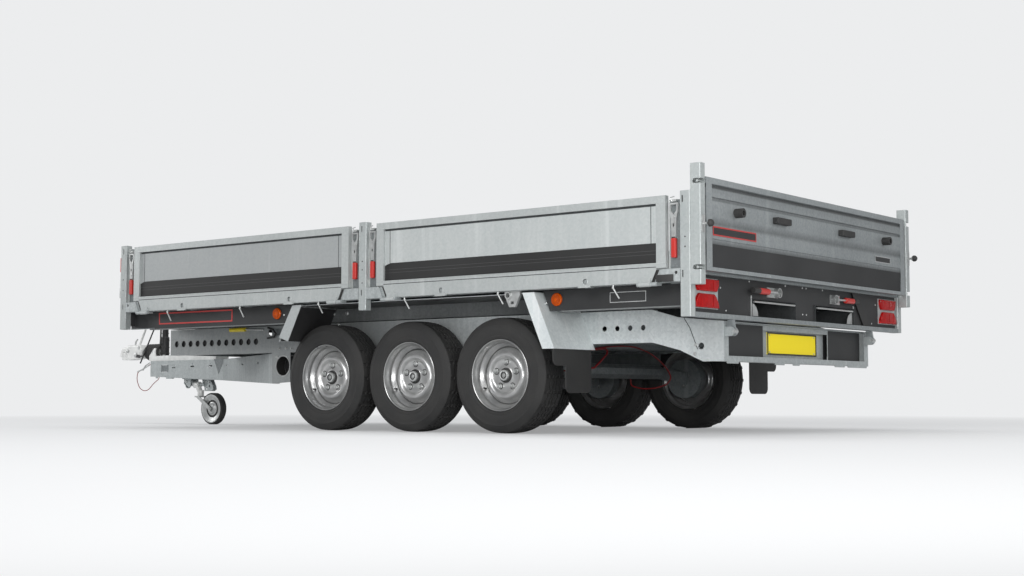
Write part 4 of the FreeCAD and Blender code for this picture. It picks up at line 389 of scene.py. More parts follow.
nodeLooks = {
    "galvanised": ["drawbar", "rear_frame", "headboard", "panel_hinges", "jockey_bracket"],
    "railSkirt": ["bed_side_rails"],
    "guardSheet": ["mudguards"],
    "subframe": ["bed_subframe"],
    "railSheet": ["chassis_rails"],
    "rearSectionShaded": ["bed_rear_frame"],
    "shade": ["ramp_trays"],
    "frameRim": ["drop_side_" + side + "_" + end for side in sides for end in ("rear", "front")],
    "gateSkin": ["tailgate"],
    "galvanisedBright": ["bed_posts", "tailgate_posts"],
    "galvanisedDull": ["axles", "bed_crossmembers", "chassis_crossmembers", "ram_cradle"],
    "floorPlate": ["bed_floor"],
    "darkPanel": ["skirts", "rear_sheet"],
    "blackPaint": ["tipping_pump", "ram_cylinder", "handbrake_lever"],
    "castWhite": ["coupling_head", "drawshaft_housing", "jockey_arm"],
    "zinc": ["lashing_fittings", "jockey_fork", "latches"],
    "rod": ["ram_stage_" + str(step) for step in range(1, 5)],
    "softRubber": ["mudflaps", "coupling_gaiter", "tailgate_buffers"],
    "redGrip": ["latch_grips"],
    "redLens": ["tail_lamps"],
    "amberLens": ["marker_lamps"],
    "yellowPlate": ["number_plate"],
    "redCable": ["brake_cables", "breakaway_cable"],
    "jockeyTyre": ["jockey_wheel"],
    "wheelPaint": ["rim_" + side + "_" + end for side in sides for end in ends],
    "tyreRubber": ["tyre_" + side + "_" + end for side in sides for end in ends],
}
for look, names in nodeLooks.items():
    for name in names:
        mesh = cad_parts[name].data
        mesh.materials.clear()
        mesh.materials.append(looks[look])
print("materials done")


def turnTo(direction):
    return Vector(direction).to_track_quat("Z", "Y").to_matrix().to_4x4()


def roundEdges(bm, edges, rounded, segments):
    bmesh.ops.bevel(
        bm, geom=edges, offset=rounded / 1000, offset_type="OFFSET", segments=segments, profile=.5,
        affect="EDGES", material=-1,
    )


def addBox(bm, low, high, rounded=0.0):
    low, high = at(*low), at(*high)
    size = [abs(a - b) for a, b in zip(high, low)]
    place = Matrix.Translation((low + high) / 2) @ Matrix.Diagonal((*size, 1))
    made = bmesh.ops.create_cube(bm, size=1, matrix=place)
    if rounded:
        roundEdges(bm, list({e for v in made["verts"] for e in v.link_edges}), rounded, 2)


# A box on one side of the trailer, its corners given for the left, moved by x and z.
def addSideBox(bm, corners, side, rounded=0.0, x=0, z=0):
    low, high = corners
    start = (x + low[0], side * low[1], z + low[2])
    addBox(bm, start, (x + high[0], side * high[1], z + high[2]), rounded)


def addRod(bm, start, end, radius, sides=16, tip=None):
    start, end = at(*start), at(*end)
    run = end - start
    place = Matrix.Translation((start + end) / 2) @ turnTo(run)
    last = radius if tip is None else tip
    bmesh.ops.create_cone(
        bm, cap_ends=True, segments=sides, radius1=radius / 1000, radius2=last / 1000, depth=run.length,
        matrix=place,
    )


def addBall(bm, centre, radius):
    place = Matrix.Translation(at(*centre))
    bmesh.ops.create_uvsphere(bm, u_segments=20, v_segments=12, radius=radius / 1000, matrix=place)


# A flat outline of points pushed along a direction, with its far edges rounded if asked.
def addPlate(bm, outline, push, rounded=0.0):
    face = bm.faces.new([bm.verts.new(at(*p)) for p in outline])
    made = bmesh.ops.extrude_face_region(bm, geom=[face], use_keep_orig=True)["geom"]
    moved = [g for g in made if isinstance(g, bmesh.types.BMVert)]
    bmesh.ops.translate(bm, verts=moved, vec=Vector(push) / 1000)
    if rounded:
        roundEdges(bm, [g for g in made if isinstance(g, bmesh.types.BMEdge)], rounded, 3)


# A band along the inside of a flat outline, pushed along a direction.
def addFrame(bm, outline, width, push):
    corners = [Vector(p) for p in outline]
    inner = []
    for before, corner, after in zip(corners[-1:] + corners, corners, corners[1:] + corners[:1]):
        inward = (before - corner).normalized() + (after - corner).normalized()
        inner.append(corner + inward * width)
    for step, corner in enumerate(corners):
        following = (step + 1) % len(corners)
        addPlate(bm, [corner, corners[following], inner[following], inner[step]], push)


# Pairs of radius and distance out, turned about an axis through a point.
def addSpin(bm, path, centre, side=1, steps=64, axis=(0, 1, 0), radial=(0, 0, 1)):
    axis, radial, centre = Vector(axis), Vector(radial), at(*centre)
    row = [bm.verts.new(centre + radial * r / 1000 + axis * side * out / 1000) for r, out in path]
    edges = [bm.edges.new(pair) for pair in zip(row, row[1:])]
    bmesh.ops.spin(
        bm, geom=row + edges, cent=centre, axis=axis, dvec=(0, 0, 0), angle=math.tau, steps=steps,
        use_merge=True, use_duplicate=False,
    )
    bmesh.ops.remove_doubles(bm, verts=bm.verts, dist=.00002)


# A hexagon head on its washer.
def addBolt(bm, place, way, size, height):
    way = Vector(way).normalized()
    base = Vector(place)
    addRod(bm, base, base + way * 1.6, size * 1.35, 20)
    addRod(bm, base + way * 1.4, base + way * (1.4 + height), size, 6)


def addRivet(bm, place, way, size):
    way = Vector(way).normalized()
    base = Vector(place)
    addRod(bm, base, base + way * size * .5, size, 12, size * .45)


# A bent rod: straight pieces with a ball at every knee.
def addTube(bm, route, radius, sides=8):
    for start, end in zip(route, route[1:]):
        addRod(bm, start, end, radius, sides)
    for knee in route[1:-1]:
        addBall(bm, knee, radius)


def piece(name, bm, look, body, replaces=(), smooth=35, solid=0.0):
    bmesh.ops.recalc_face_normals(bm, faces=bm.faces)
    mesh = bpy.data.meshes.new(name)
    bm.to_mesh(mesh)
    bm.free()
    mesh.materials.append(looks[look])
    made = bpy.data.objects.new(name, mesh)
    bpy.context.scene.collection.objects.link(made)
    mesh.shade_smooth()
    mesh.set_sharp_from_angle(angle=math.radians(smooth))
    if solid:
        wall = made.modifiers.new("wall", "SOLIDIFY")
        wall.thickness = solid / 1000
        wall.offset = -1
    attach(made, body)
    if replaces:
        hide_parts(*replaces)


wheels = {
    "places": {"rear": 1221, "middle": 1839, "front": 2460},
    "centreY": 893,
    "height": 294,
    "steps": 96,
    "rimSteps": 72,
    "crown": (293.8, 3.2, 70),  # the tread's radius, how much it falls, and over how far
    "ribs": [(-70, -45), (-37, -15), (-7, 7), (15, 37), (45, 70)],
    "grooveDepth": 8,
    "grooveEdges": (1.2, 6.8),
    "zigzag": 3.0,
    "zigzagHalf": 68,
    "zigzagFrom": 280,
    "sipeDepth": 4.5,
    "sipeEdge": 3.5,
    "sipeFrom": 288.5,
    "treadSmooth": 32,
    "wall": [  # pairs of radius and distance out, as in the profiles below
        (183.5, 78), (187, 82), (192, 83.5), (197, 86.5), (203, 85.5), (207, 87), (216, 89.5), (236, 92),
        (240, 91.2), (244, 92.2), (252, 91.5), (255, 92.6), (258, 91), (266, 88.5), (277, 83),
        (284, 78.5), (289.5, 74),
    ],
    "barrel": [
        (181.6, 76), (182.2, 79.6), (180.4, 80.8), (177.6, 79), (176, 73), (174.6, 65), (168, 58),
        (165.5, 50), (165, 40), (167, 34), (163, 28), (149, 17), (146, 8), (146, -22), (160, -34),
        (164, -52), (175, -60), (176.5, -74), (180.5, -80), (182, -78),
    ],
    "disc": [
        (146, -4), (145, 6), (141, 13), (137, 16), (131, 20), (124, 30), (117, 39), (111, 43),
        (104, 43.5), (97, 40), (91, 32), (86, 26.5), (80, 24.5), (60, 24), (46, 24), (40, 26), (36, 29),
    ],
    "rimWall": 3.0,
    "cap": [
        (28, 20), (28, 44), (26.5, 48), (20, 50), (17, 49), (15.5, 46), (10, 46), (8, 47.5), (0, 47.5),
    ],
    # Rings of painted shade: in the groove round the hub cap, in the cap's hole, and round each nut below.
    "capShadeRing": [(28.2, 24), (38, 26), (38.5, 30), (36, 36), (31, 38), (28.2, 36)],
    "capHoleShade": [(17.5, 48), (17.5, 50.4), (13, 50.6), (13, 48)],
    "studs": 5,
    "studCircle": 67,
    "studTurn": .31,
    # Seat, nut and stud end: out from, out to, radius, radius at the tip, corners.
    "nut": ((23, 29, 15, 11.5, 24), (28, 43, 10.6, 10.6, 6), (42, 49, 6.5, 6.5, 14)),
    "nutShade": [(17.5, 22), (17.5, 24.8), (14, 25.4), (14, 22)],
    "valve": {"turn": 207, "radius": 147, "out": 26, "reach": 26, "lean": 6, "thick": 5, "tip": 4},
}


def crown(out):
    radius, fall, half = wheels["crown"]
    return radius - fall * (out / half) ** 2


def tyrePath():
    tread = []
    wide, narrow = wheels["grooveEdges"]
    for low, high in reversed(wheels["ribs"]):
        tread += [(crown(high), high), (crown(low), low)]
        if low > wheels["ribs"][0][0]:
            floor = crown(low) - wheels["grooveDepth"]
            tread += [(floor, low - wide), (floor, low - narrow)]
    return wheels["wall"] + tread + [(r, -out) for r, out in reversed(wheels["wall"])]


def makeTyre(name, centre, side):
    bm = bmesh.new()
    addSpin(bm, tyrePath(), centre, side, wheels["steps"])
    hub = at(*centre)

    def radius(vert):
        return math.hypot(vert.co.x - hub.x, vert.co.z - hub.z)

    def step(spot):
        return round(math.atan2(spot.z - hub.z, spot.x - hub.x) / math.tau * wheels["steps"] * 2)

    for vert in bm.verts:
        near = abs(vert.co.y - hub.y) < wheels["zigzagHalf"] / 1000
        if near and radius(vert) > wheels["zigzagFrom"] / 1000:
            vert.co.y += (wheels["zigzag"] if step(vert.co) % 4 else -wheels["zigzag"]) / 1000
    outer = [f for f in bm.faces if all(radius(v) > wheels["sipeFrom"] / 1000 for v in f.verts)]
    crossing = [f for f in outer if step(f.calc_center_median()) % 8 == 1]
    edge, depth = wheels["sipeEdge"] / 1000, -wheels["sipeDepth"] / 1000
    bmesh.ops.inset_individual(bm, faces=crossing, thickness=edge, depth=depth)
    piece("tyreTread_" + name, bm, "tyreRubber", "wheel_" + name, ["tyre_" + name], wheels["treadSmooth"])


def studPlaces(x, z):
    circle = wheels["studCircle"]
    for stud in range(wheels["studs"]):
        angle = math.tau * stud / wheels["studs"] + wheels["studTurn"]
        yield x + circle * math.cos(angle), z + circle * math.sin(angle)


def makeRim(name, centre, side):
    x, y, z = centre
    bm = bmesh.new()
    addSpin(bm, wheels["barrel"], centre, side, wheels["rimSteps"])
    addSpin(bm, wheels["disc"], centre, side, wheels["rimSteps"])
    piece("wheelRim_" + name, bm, "wheelPaint", "wheel_" + name, ["rim_" + name], solid=wheels["rimWall"])
    bm = bmesh.new()
    addSpin(bm, wheels["cap"], centre, side, 40)
    for studX, studZ in studPlaces(x, z):
        for start, finish, wide, tip, corners in wheels["nut"]:
            foot = (studX, y + side * start, studZ)
            addRod(bm, foot, (studX, y + side * finish, studZ), wide, corners, tip)
    piece("wheelNuts_" + name, bm, "zinc", "wheel_" + name)
    # Painted shade round the hub cap, in its hole and round the nuts, and the rubber valve.
    bm = bmesh.new()
    addSpin(bm, wheels["capShadeRing"], centre, side, 40)
    addSpin(bm, wheels["capHoleShade"], centre, side, 32)
    for studX, studZ in studPlaces(x, z):
        addSpin(bm, wheels["nutShade"], (studX, y, studZ), side, 24)
    valve = wheels["valve"]
    angle = math.radians(valve["turn"])
    radius, lean = valve["radius"], valve["lean"]
    foot = Vector((x - radius * math.cos(angle), y + side * valve["out"], z + radius * math.sin(angle)))
    run = Vector((lean * math.cos(angle), side * valve["reach"], -lean * math.sin(angle)))
    addRod(bm, foot, foot + run, valve["thick"], 12, valve["tip"])
    piece("wheelRubber_" + name, bm, "softRubber", "wheel_" + name)


for place, side in sides.items():
    for end in ends:
        centre = (wheels["places"][end], side * wheels["centreY"], wheels["height"])
        makeTyre(place + "_" + end, centre, side)
        makeRim(place + "_" + end, centre, side)
print("wheels done")


panels = {
    "spans": {"rear": (130, 1935), "front": (2141, 3970)},
    "skins": {"rear": "skinRearLit", "front": "skin"},
    "stile": 52,
    "field": (795, 1065),
    "face": 1112,
    "sheet": .6,
    "crease": 35,
    "creaseGap": 4,
    "stripeTop": 886,
    "stripeOut": .5,
    "slant": (38, 12),
    "lines": ((834, 836), (850, 852)),
    "lineOut": .8,
    "ledge": (789, 793),
    "ledgeOut": (1124.5, 1127),
    "ledgeInset": 2,
    "ledgeRound": .8,
    "outside": 1125,
    "rivets": ((12, 1068), (12, 1088), (40, 1068), (40, 1088)),
    "rivet": 3.2,
    "lash": (.25, .75),
    "lashHeight": 727,
    "lashRing": [(13, -3), (13.4, .4), (15.5, .9), (16.5, 0)],
    "topShade": (9, 1, 1.2),
    "footShade": (773, 776.5, .5),
    "creaseShade": (1.6, .9),
}


def makeDropSide(place, side, end):
    name = place + "_" + end
    body = "drop_side_" + name
    rear, front = panels["spans"][end]
    low, high = panels["field"]
    start, finish = rear + panels["stile"], front - panels["stile"]
    face = side * panels["face"]
    skin = face + side * panels["sheet"]
    outside = side * panels["outside"]
    top = panels["stripeTop"]
    creases = (start + panels["crease"], finish - panels["crease"])
    half = panels["creaseGap"] / 2
    sheets = ((start, creases[0] - half), (creases[0] + half, creases[1] - half), (creases[1] + half, finish))
    bm = bmesh.new()
    for x0, x1 in sheets:
        addBox(bm, (x0, face, top), (x1, skin, high))
    addBox(bm, (start, face, low), (finish, skin, top))
    piece("panelField_" + name, bm, panels["skins"][end], body)
    bm = bmesh.new()
    along, down = panels["slant"]
    stripe = [(start, low), (finish, low), (finish, top - down), (finish - along, top), (start, top)]
    addPlate(bm, [(x, skin, z) for x, z in stripe], (0, side * panels["stripeOut"], 0))
    piece("panelStripe_" + name, bm, "stripe", body)
    bm = bmesh.new()
    for bottom, upper in panels["lines"]:
        addBox(bm, (start, skin, bottom), (finish, skin + side * panels["lineOut"], upper))
    piece("panelLines_" + name, bm, "stripeLine", body)
    bm = bmesh.new()
    bottom, upper = panels["ledge"]
    near, far = panels["ledgeOut"]
    inset = panels["ledgeInset"]
    ledge = (rear + inset, side * near, bottom), (front - inset, side * far, upper)
    addBox(bm, *ledge, panels["ledgeRound"])
    for inset, z in panels["rivets"]:
        for x in (rear + inset, front - inset):
            addRivet(bm, (x, outside, z), (0, side, 0), panels["rivet"])
    for share in panels["lash"]:
        x = rear + (front - rear) * share
        addSpin(bm, panels["lashRing"], (x, outside, panels["lashHeight"]), side, 28)
    piece("panelTrim_" + name, bm, "frameRim", body)
    bm = bmesh.new()
    under, over, out = panels["topShade"]
    addBox(bm, (start, face, high - under), (finish, side * (panels["face"] + out), high + over))
    bottom, upper, out = panels["footShade"]
    addBox(bm, (start, outside, bottom), (finish, side * (panels["outside"] + out), upper))
    wide, out = panels["creaseShade"]
    for x in creases:
        addBox(bm, (x - wide, face, top), (x + wide, side * (panels["face"] + out), high))
    piece("panelShade_" + name, bm, "shade", body)


for place, side in sides.items():
    for end in panels["spans"]:
        makeDropSide(place, side, end)
print("drop sides done")


# The bays beside the posts, where the latches of the drop sides are.
bays = {
    "places": (92, 1973, 2103, 4008),
    "posts": (27, 2038, 4073),
    "width": 26,
    "plate": 1103,
    "plateThick": .6,
    "plateSpan": (766, 1079),
    "front": 13.6,
    "bosses": ((1000, 3, 7, 14), (925, 2.5, 5, 12)),  # height, out, radius, corners
    "crossPin": (12, 5, 1074, 6),
    "hook": ((10, 0, 1070), (12, 3, 1088), (-6, 3, 1092)),
    "hookThick": 3,
    "postCap": ((-14, 1102, 1115), (14, 1112, 1117.5)),
    "catch": ((-10, 1104, 903), (10, 1118.5, 909)),
    "catchEye": (1117, 1117.4, 962, 4),
    "dots": ((27, 905), (27, 860), (2038, 905), (2038, 860), (2038, 790), (4073, 905), (4073, 840)),
    "dot": (1124.6, 4.4),
    "eyes": ((76, 745), (4024, 745)),
    "eye": (1116.4, 1118, 7.9),
    "gaps": ((184, 210, 1), (1881, 1855, -1), (2195, 2221, 1), (3916, 3890, -1)),
    "gapEdges": {1: (-14, 2), -1: (18, -2)},
    "gapSpan": (762, 706),
    "gapOut": (1116.4, 1.4),
    "slots": ((40, 1078), (2043, 1078), (4073, 1078), (40, 738), (2043, 738), (4073, 738)),
    "slot": ((-3.6, 1119, -16), (3.6, 1120.6, 16)),
}


for place, side in sides.items():
    # Thin dull plates of painted shade in the bays behind the latches.
    bm = bmesh.new()
    bottom, upper = bays["plateSpan"]
    near, far = side * bays["plate"], side * (bays["plate"] + bays["plateThick"])
    for x in bays["places"]:
        addBox(bm, (x - bays["width"], near, bottom), (x + bays["width"], far, upper))
    piece("bayBack_" + place, bm, "galvanisedDull", "bed")
    bm = bmesh.new()
    face = side * (bays["plate"] + bays["front"])
    wide, back, height, thick = bays["crossPin"]
    for x in bays["places"]:
        for z, out, radius, corners in bays["bosses"]:
            addRod(bm, (x, face, z), (x, face + side * out, z), radius, corners)
        addRod(bm, (x - wide, face - side * back, height), (x + wide, face - side * back, height), thick, 12)
        addTube(bm, [(x + along, face + side * out, z) for along, out, z in bays["hook"]], bays["hookThick"])
    for x in bays["posts"]:
        addSideBox(bm, bays["postCap"], side, 1, x)
    piece("latchTrim_" + place, bm, "zinc", "bed")
    # Painted shade in the latch windows and in the dark dots, eyes and slots of the posts, and the dark
    # rubber seen in the slanted gaps.
    bm = bmesh.new()
    near, far, height, radius = bays["catchEye"]
    for x in bays["places"]:
        addSideBox(bm, bays["catch"], side, 1.5, x)
        addRod(bm, (x, side * near, height), (x, side * far, height), radius, 12)
    out, radius = bays["dot"]
    for x, z in bays["dots"]:
        addRivet(bm, (x, side * out, z), (0, side, 0), radius)
    near, far, radius = bays["eye"]
    for x, z in bays["eyes"]:
        addRod(bm, (x, side * near, z), (x, side * far, z), radius, 20)
    high, low = bays["gapSpan"]
    out, thick = bays["gapOut"]
    for upper, lower, way in bays["gaps"]:
        near, far = bays["gapEdges"][way]
        strip = [(upper + near, high), (upper + far, high), (lower + far, low), (lower + near, low)]
        addPlate(bm, [(x, side * out, z) for x, z in strip], (0, side * thick, 0))
    for x, z in bays["slots"]:
        addSideBox(bm, bays["slot"], side, 0, x, z)
    piece("bayDark_" + place, bm, "softRubber", "bed")
print("bays done")


# What the skirts under the bed carry. The stickers give an outline, a border, a field and a width.
skirts = {
    "face": 1050.0,
    "stickers": {
        "skirt": ([(3817, 696), (3149, 694), (3150, 623), (3814, 625)], "redLine", "blackPaint", 8),
        "skirtRear": ([(490, 676), (287, 676), (287, 627), (490, 627)], "whiteLine", "darkPanel", 2.6),
    },
    "fieldOut": .6,
    "borderOut": 1.1,
    "bolts": ((2717, 646), (868, 640)),
    "bolt": 6,
    "end": ((3856, 1044, 607), (4084, 1049, 712)),
    "lip": ((3856, 1040, 601), (4084, 1051, 606.5)),
    "corner": ((89, 1124.5, 704), (181, 1130, 738)),
    "markers": (2770, 800),
    "markerHeight": 655,
    "markerSeat": [(31, 2), (34.5, 2.2), (35, 0)],
    "markerDome": [(0, 14.6), (8, 14.4), (9, 13.4), (13, 14), (15, 13), (22, 13.6)],
    "markerRibs": 8,
    "markerRib": ((15, 1063), (27, 1060.6), 1.6),
}
for place, side in sides.items():
    face = side * skirts["face"]
    for name, (outline, border, field, width) in skirts["stickers"].items():
        corners = [(x, face, z) for x, z in outline]
        bm = bmesh.new()
        addPlate(bm, corners, (0, side * skirts["fieldOut"], 0))
        piece(name + "Field_" + place, bm, field, "bed")
        bm = bmesh.new()
        addFrame(bm, corners, width, (0, side * skirts["borderOut"], 0))
        piece(name + "Border_" + place, bm, border, "bed")
    bm = bmesh.new()
    for x, z in skirts["bolts"]:
        addRivet(bm, (x, face, z), (0, side, 0), skirts["bolt"])
    piece("skirtTrim_" + place, bm, "zinc", "bed")
    bm = bmesh.new()
    addSideBox(bm, skirts["end"], side)
    piece("skirtEnd_" + place, bm, "darkPanel", "bed")
    bm = bmesh.new()
    addSideBox(bm, skirts["lip"], side, 1)
    piece("skirtLip_" + place, bm, "galvanisedDull", "bed")
    bm = bmesh.new()
    for x in skirts["markers"]:
        addSpin(bm, skirts["markerSeat"], (x, face, skirts["markerHeight"]), side, 40)
    addSideBox(bm, skirts["corner"], side, 2.5)
    piece("skirtRubber_" + place, bm, "softRubber", "bed")
    bm = bmesh.new()
    (near, nearOut), (far, farOut), thick = skirts["markerRib"]
    for x in skirts["markers"]:
        z = skirts["markerHeight"]
        addSpin(bm, skirts["markerDome"], (x, face, z), side, 36)
        for turn in range(skirts["markerRibs"]):
            angle = math.tau * turn / skirts["markerRibs"]
            inner = (x + near * math.cos(angle), side * nearOut, z + near * math.sin(angle))
            outer = (x + far * math.cos(angle), side * farOut, z + far * math.sin(angle))
            addRod(bm, inner, outer, thick, 8)
    piece("markerRibs_" + place, bm, "amberLens", "bed")
print("skirts done")


chassis = {
    "railHoles": ((3191.8, 757, 485), (4036, 758.5, 549)),
    "tube": (3021, 368),
    "tubeBack": (700, 702, 56),
    "tubeShade": [(55.8, -64), (55.8, -2)],
    "tubeInnerShade": [(55.2, -58), (55.2, -1)],
    "tubeRing": [(56.6, -1), (57, 2.4), (61.5, 2.6), (63, 0)],
    "face": 769,
    "guardRoof": ((905, 775, 684), (2520, 1068, 688.4)),
    "guardLean": [(2584, 772, 684), (2682, 772, 498), (2679, 772, 497), (2581, 772, 683)],
    "guardWide": 333,
    "bolts": (
        (3056, 769, 471), (2996, 769, 471), (2950, 769, 469), (3073, 769, 422), (190, 773, 430),
        (196, 773, 388), (2700, 769, 420), (2050, 769, 420),
    ),
    "guardBolts": ((2566, 771, 596), (2518, 771, 561), (2496, 771, 660), (2600, 771, 660)),
    "bolt": (6.5, 5),
    "guardBolt": (9, 7),
    "springBolts": (((150, 772, 333), (17, 10)), ((0, 772, 250), (7, 5))),
    "hoseBackShade": ((3020, 756, 530), (3130, 758, 604)),
    "hose": [(3150, 774, 596), (3105, 776, 584), (3078, 776, 560), (3094, 776, 540), (3150, 776, 534)],
    "hoseThick": 5.5,
    "seam": [(254, 773, 558), (223, 773.4, 513), (180, 773.4, 409)],
    "seamThick": 1.8,
    "sleeve": ((3474, 781, 591), (3339, 781, 591)),
    "sleeveThick": 12,
    "rod": [(3345, 781, 591), (3204, 781, 586), (3194, 772, 586)],
    "rodThick": 4.5,
    "rodEnds": (((3434, 769, 583), (3442, 790, 599)), ((3361, 769, 583), (3369, 790, 599))),
}
for place, side in sides.items():
    outward = (0, side, 0)
    x, z = chassis["tube"]
    mouth = (x, side * chassis["face"], z)
    # Black sheets of painted shade: in the rail's holes, at the back and inside of the tube, under the
    # mudguards' roofs and in the front guard sheets.
    bm = bmesh.new()
    addSideBox(bm, chassis["railHoles"], side)
    near, far, radius = chassis["tubeBack"]
    addRod(bm, (x, side * near, z), (x, side * far, z), radius, 32)
    addSpin(bm, chassis["tubeShade"], mouth, side, 40)
    addSideBox(bm, chassis["guardRoof"], side)
    lean = [onSide(corner, side) for corner in chassis["guardLean"]]
    addPlate(bm, lean, (0, side * chassis["guardWide"], 0))
    piece("guardShade_" + place, bm, "blackPaint", "chassis")
    bm = bmesh.new()
    for spot in chassis["bolts"]:
        addBolt(bm, onSide(spot, side), outward, *chassis["bolt"])
    for spot in chassis["guardBolts"]:
        addBolt(bm, onSide(spot, side), outward, *chassis["guardBolt"])
    addSpin(bm, chassis["tubeRing"], mouth, side, 48)
    for wheelX in wheels["places"].values():
        for (along, out, height), bolt in chassis["springBolts"]:
            addBolt(bm, (wheelX + along, side * out, height), outward, *bolt)
    piece("chassisBolts_" + place, bm, "zinc", "chassis")
    # Painted shade inside the tube's mouth.
    bm = bmesh.new()
    addSpin(bm, chassis["tubeInnerShade"], mouth, side, 40)
    piece("tubeLining_" + place, bm, "softRubber", "chassis")
    # A dull plate of painted shade behind the hose.
    bm = bmesh.new()
    addSideBox(bm, chassis["hoseBackShade"], side)
    piece("railFill_" + place, bm, "galvanisedDull", "chassis")
    bm = bmesh.new()
    addTube(bm, [onSide(spot, side) for spot in chassis["hose"]], chassis["hoseThick"], 12)
    piece("railHose_" + place, bm, "softRubber", "chassis")
    bm = bmesh.new()
    addTube(bm, [onSide(spot, side) for spot in chassis["seam"]], chassis["seamThick"], 8)
    piece("cornerSeam_" + place, bm, "shade", "chassis")
bm = bmesh.new()
addRod(bm, *chassis["sleeve"], chassis["sleeveThick"], 20)
piece("handleSleeve", bm, "yellowTube", "chassis")
bm = bmesh.new()
addTube(bm, chassis["rod"], chassis["rodThick"], 12)
for low, high in chassis["rodEnds"]:
    addBox(bm, low, high, 1)
piece("handleRod", bm, "zinc", "chassis")
print("chassis done")


tail = {
    "lampBack": ((1074, 586), (858, 586), (858, 726), (1074, 726)),
    "face": 20,
    "plateThick": 3,
    "lenses": (
        ((1036, 654), (906, 654), (890, 642), (868, 612), (866, 590), (1070, 590), (1068, 612), (1050, 642)),
        ((1064, 722), (868, 722), (867, 692), (884, 666), (1044, 666), (1062, 692)),
    ),
    "lensFace": 17.2,
    "lensThick": 14,
    "lensRound": 5,
    "ribs": (920, 975, 1030),
    "ribSpans": ((598, 646), (672, 716)),
    "ribFaces": (2.2, 3.4),
    "ribHalf": 1.4,
    "bolts": ((830, 690), (780, 585), (560, 735), (200, 735), (20, 735), (20, 600)),
    "bolt": 5,
    "rail": ((12, 530, 640), (12, 120, 640)),
    "railThick": 5,
    "cheek": ((541, 572), (541, 632), (520, 630), (496, 616), (482, 594), (478, 572)),
    "cheekFace": 22,
    "bracket": ((14, 545, 569), (20, 553, 668)),
    "knob": (-93, 1103, 960),
    "knobPath": [(17.4, 4), (17.4, 0), (16.6, -6), (13.6, -11.5), (8, -15.8), (0, -17.6)],
    "grip": ((-4, 510, 692), (-4, 566, 692)),
    "gripThick": (15.6, 13),
    "frameBolt": ((-1, 723, 490), (-2, 757, 490)),
    "frameBoltThick": 11.5,
    "framePanel": ((66.8, 349, 359), (67.9, 720, 531)),
    "frameBack": ((96, 250, 353), (99, 392, 531)),
    "screws": ((92, 236, 407), (92, 236, 492)),
    "strapFace": 14,
    "strap": ((-522, 745), (-594, 745), (-735, 569), (-661, 569)),
    "plate": [(91.8, -260, 394), (91.8, 260, 394), (91.8, 260, 505), (91.8, -260, 505)],
    "plateBorder": (7, 2.6),
    "stickerFace": -48.6,
    "fieldOut": .6,
    "borderOut": 1.1,
    "stickers": {
        "gateSign": ([(1008, 958), (611, 958), (611, 915), (1008, 915)], "redLine", "blackPaint", 6),
        "gateMark": ([(-692, 948), (-882, 948), (-882, 915), (-692, 915)], "whiteLine", "blackPaint", 3),
    },
    "gateFace": -50,
    "gateRivet": 4,
    "gateRivets": (
        [(y, z) for y in (-700, -480, -230, 0, 230, 480, 700) for z in (1170, 760)]
        + [(y, z) for y in (-1044, 1044) for z in (790, 900, 1060, 1120)]
    ),
    "gateRim": (
        ((-50.5, 1016, 770), (-49.9, 1066, 1150)), ((-50.5, -1066, 770), (-49.9, -1016, 1150)),
        ((-50.5, -1066, 1150), (-49.9, 1066, 1177.5)), ((-50.5, -1066, 752.5), (-49.9, 1066, 770)),
    ),
    "lowPanel": ((-44.9, -1014, 770), (-43.9, 1014, 876)),
}
for place, side in sides.items():
    face, thick = tail["face"], (-tail["plateThick"], 0, 0)
    bm = bmesh.new()
    addPlate(bm, [(face, side * y, z) for y, z in tail["lampBack"]], thick)
    piece("lampBack_" + place, bm, "galvanised", "bed")
    bm = bmesh.new()
    for outline in tail["lenses"]:
        corners = [(tail["lensFace"], side * y, z) for y, z in outline]
        addPlate(bm, corners, (-tail["lensThick"], 0, 0), tail["lensRound"])
    near, far = tail["ribFaces"]
    half = tail["ribHalf"]
    for y in tail["ribs"]:
        for low, high in tail["ribSpans"]:
            addSideBox(bm, ((near, y - half, low), (far, y + half, high)), side)
    # The first side's lens takes the place of the lamps the parts have.
    piece("lampLens_" + place, bm, "redLens", "bed", ["tail_lamps"] if side > 0 else ())
    bm = bmesh.new()
    for y, z in tail["bolts"]:
        addRivet(bm, (face, side * y, z), (-1, 0, 0), tail["bolt"])
    addTube(bm, [onSide(spot, side) for spot in tail["rail"]], tail["railThick"], 10)
    addPlate(bm, [(tail["cheekFace"], side * y, z) for y, z in tail["cheek"]], thick)
    addSideBox(bm, tail["bracket"], side, 1)
    piece("rearBolts_" + place, bm, "zinc", "bed")
    bm = bmesh.new()
    addSpin(bm, tail["knobPath"], onSide(tail["knob"], side), 1, 28, (1, 0, 0), (0, 0, 1))
    wide, tip = tail["gripThick"]
    addRod(bm, *(onSide(spot, side) for spot in tail["grip"]), wide, 20, tip)
    piece("knobShell_" + place, bm, "softRubber", "bed")
    bm = bmesh.new()
    addTube(bm, [onSide(spot, side) for spot in tail["frameBolt"]], tail["frameBoltThick"], 20)
    piece("frameBolts_" + place, bm, "zinc", "chassis")
    bm = bmesh.new()
    addSideBox(bm, tail["framePanel"], side)
    piece("framePanel_" + place, bm, "darkPanel", "chassis")
bm = bmesh.new()
for side in (-1, 1):
    for spot in tail["screws"]:
        addRivet(bm, onSide(spot, side), (-1, 0, 0), tail["bolt"])
piece("plateScrews", bm, "zinc", "chassis")
bm = bmesh.new()
for side in (-1, 1):
    addSideBox(bm, tail["frameBack"], side)
piece("frameBack", bm, "darkPanel", "chassis")
bm = bmesh.new()
addPlate(bm, [(tail["strapFace"], y, z) for y, z in tail["strap"]], (-tail["plateThick"], 0, 0))
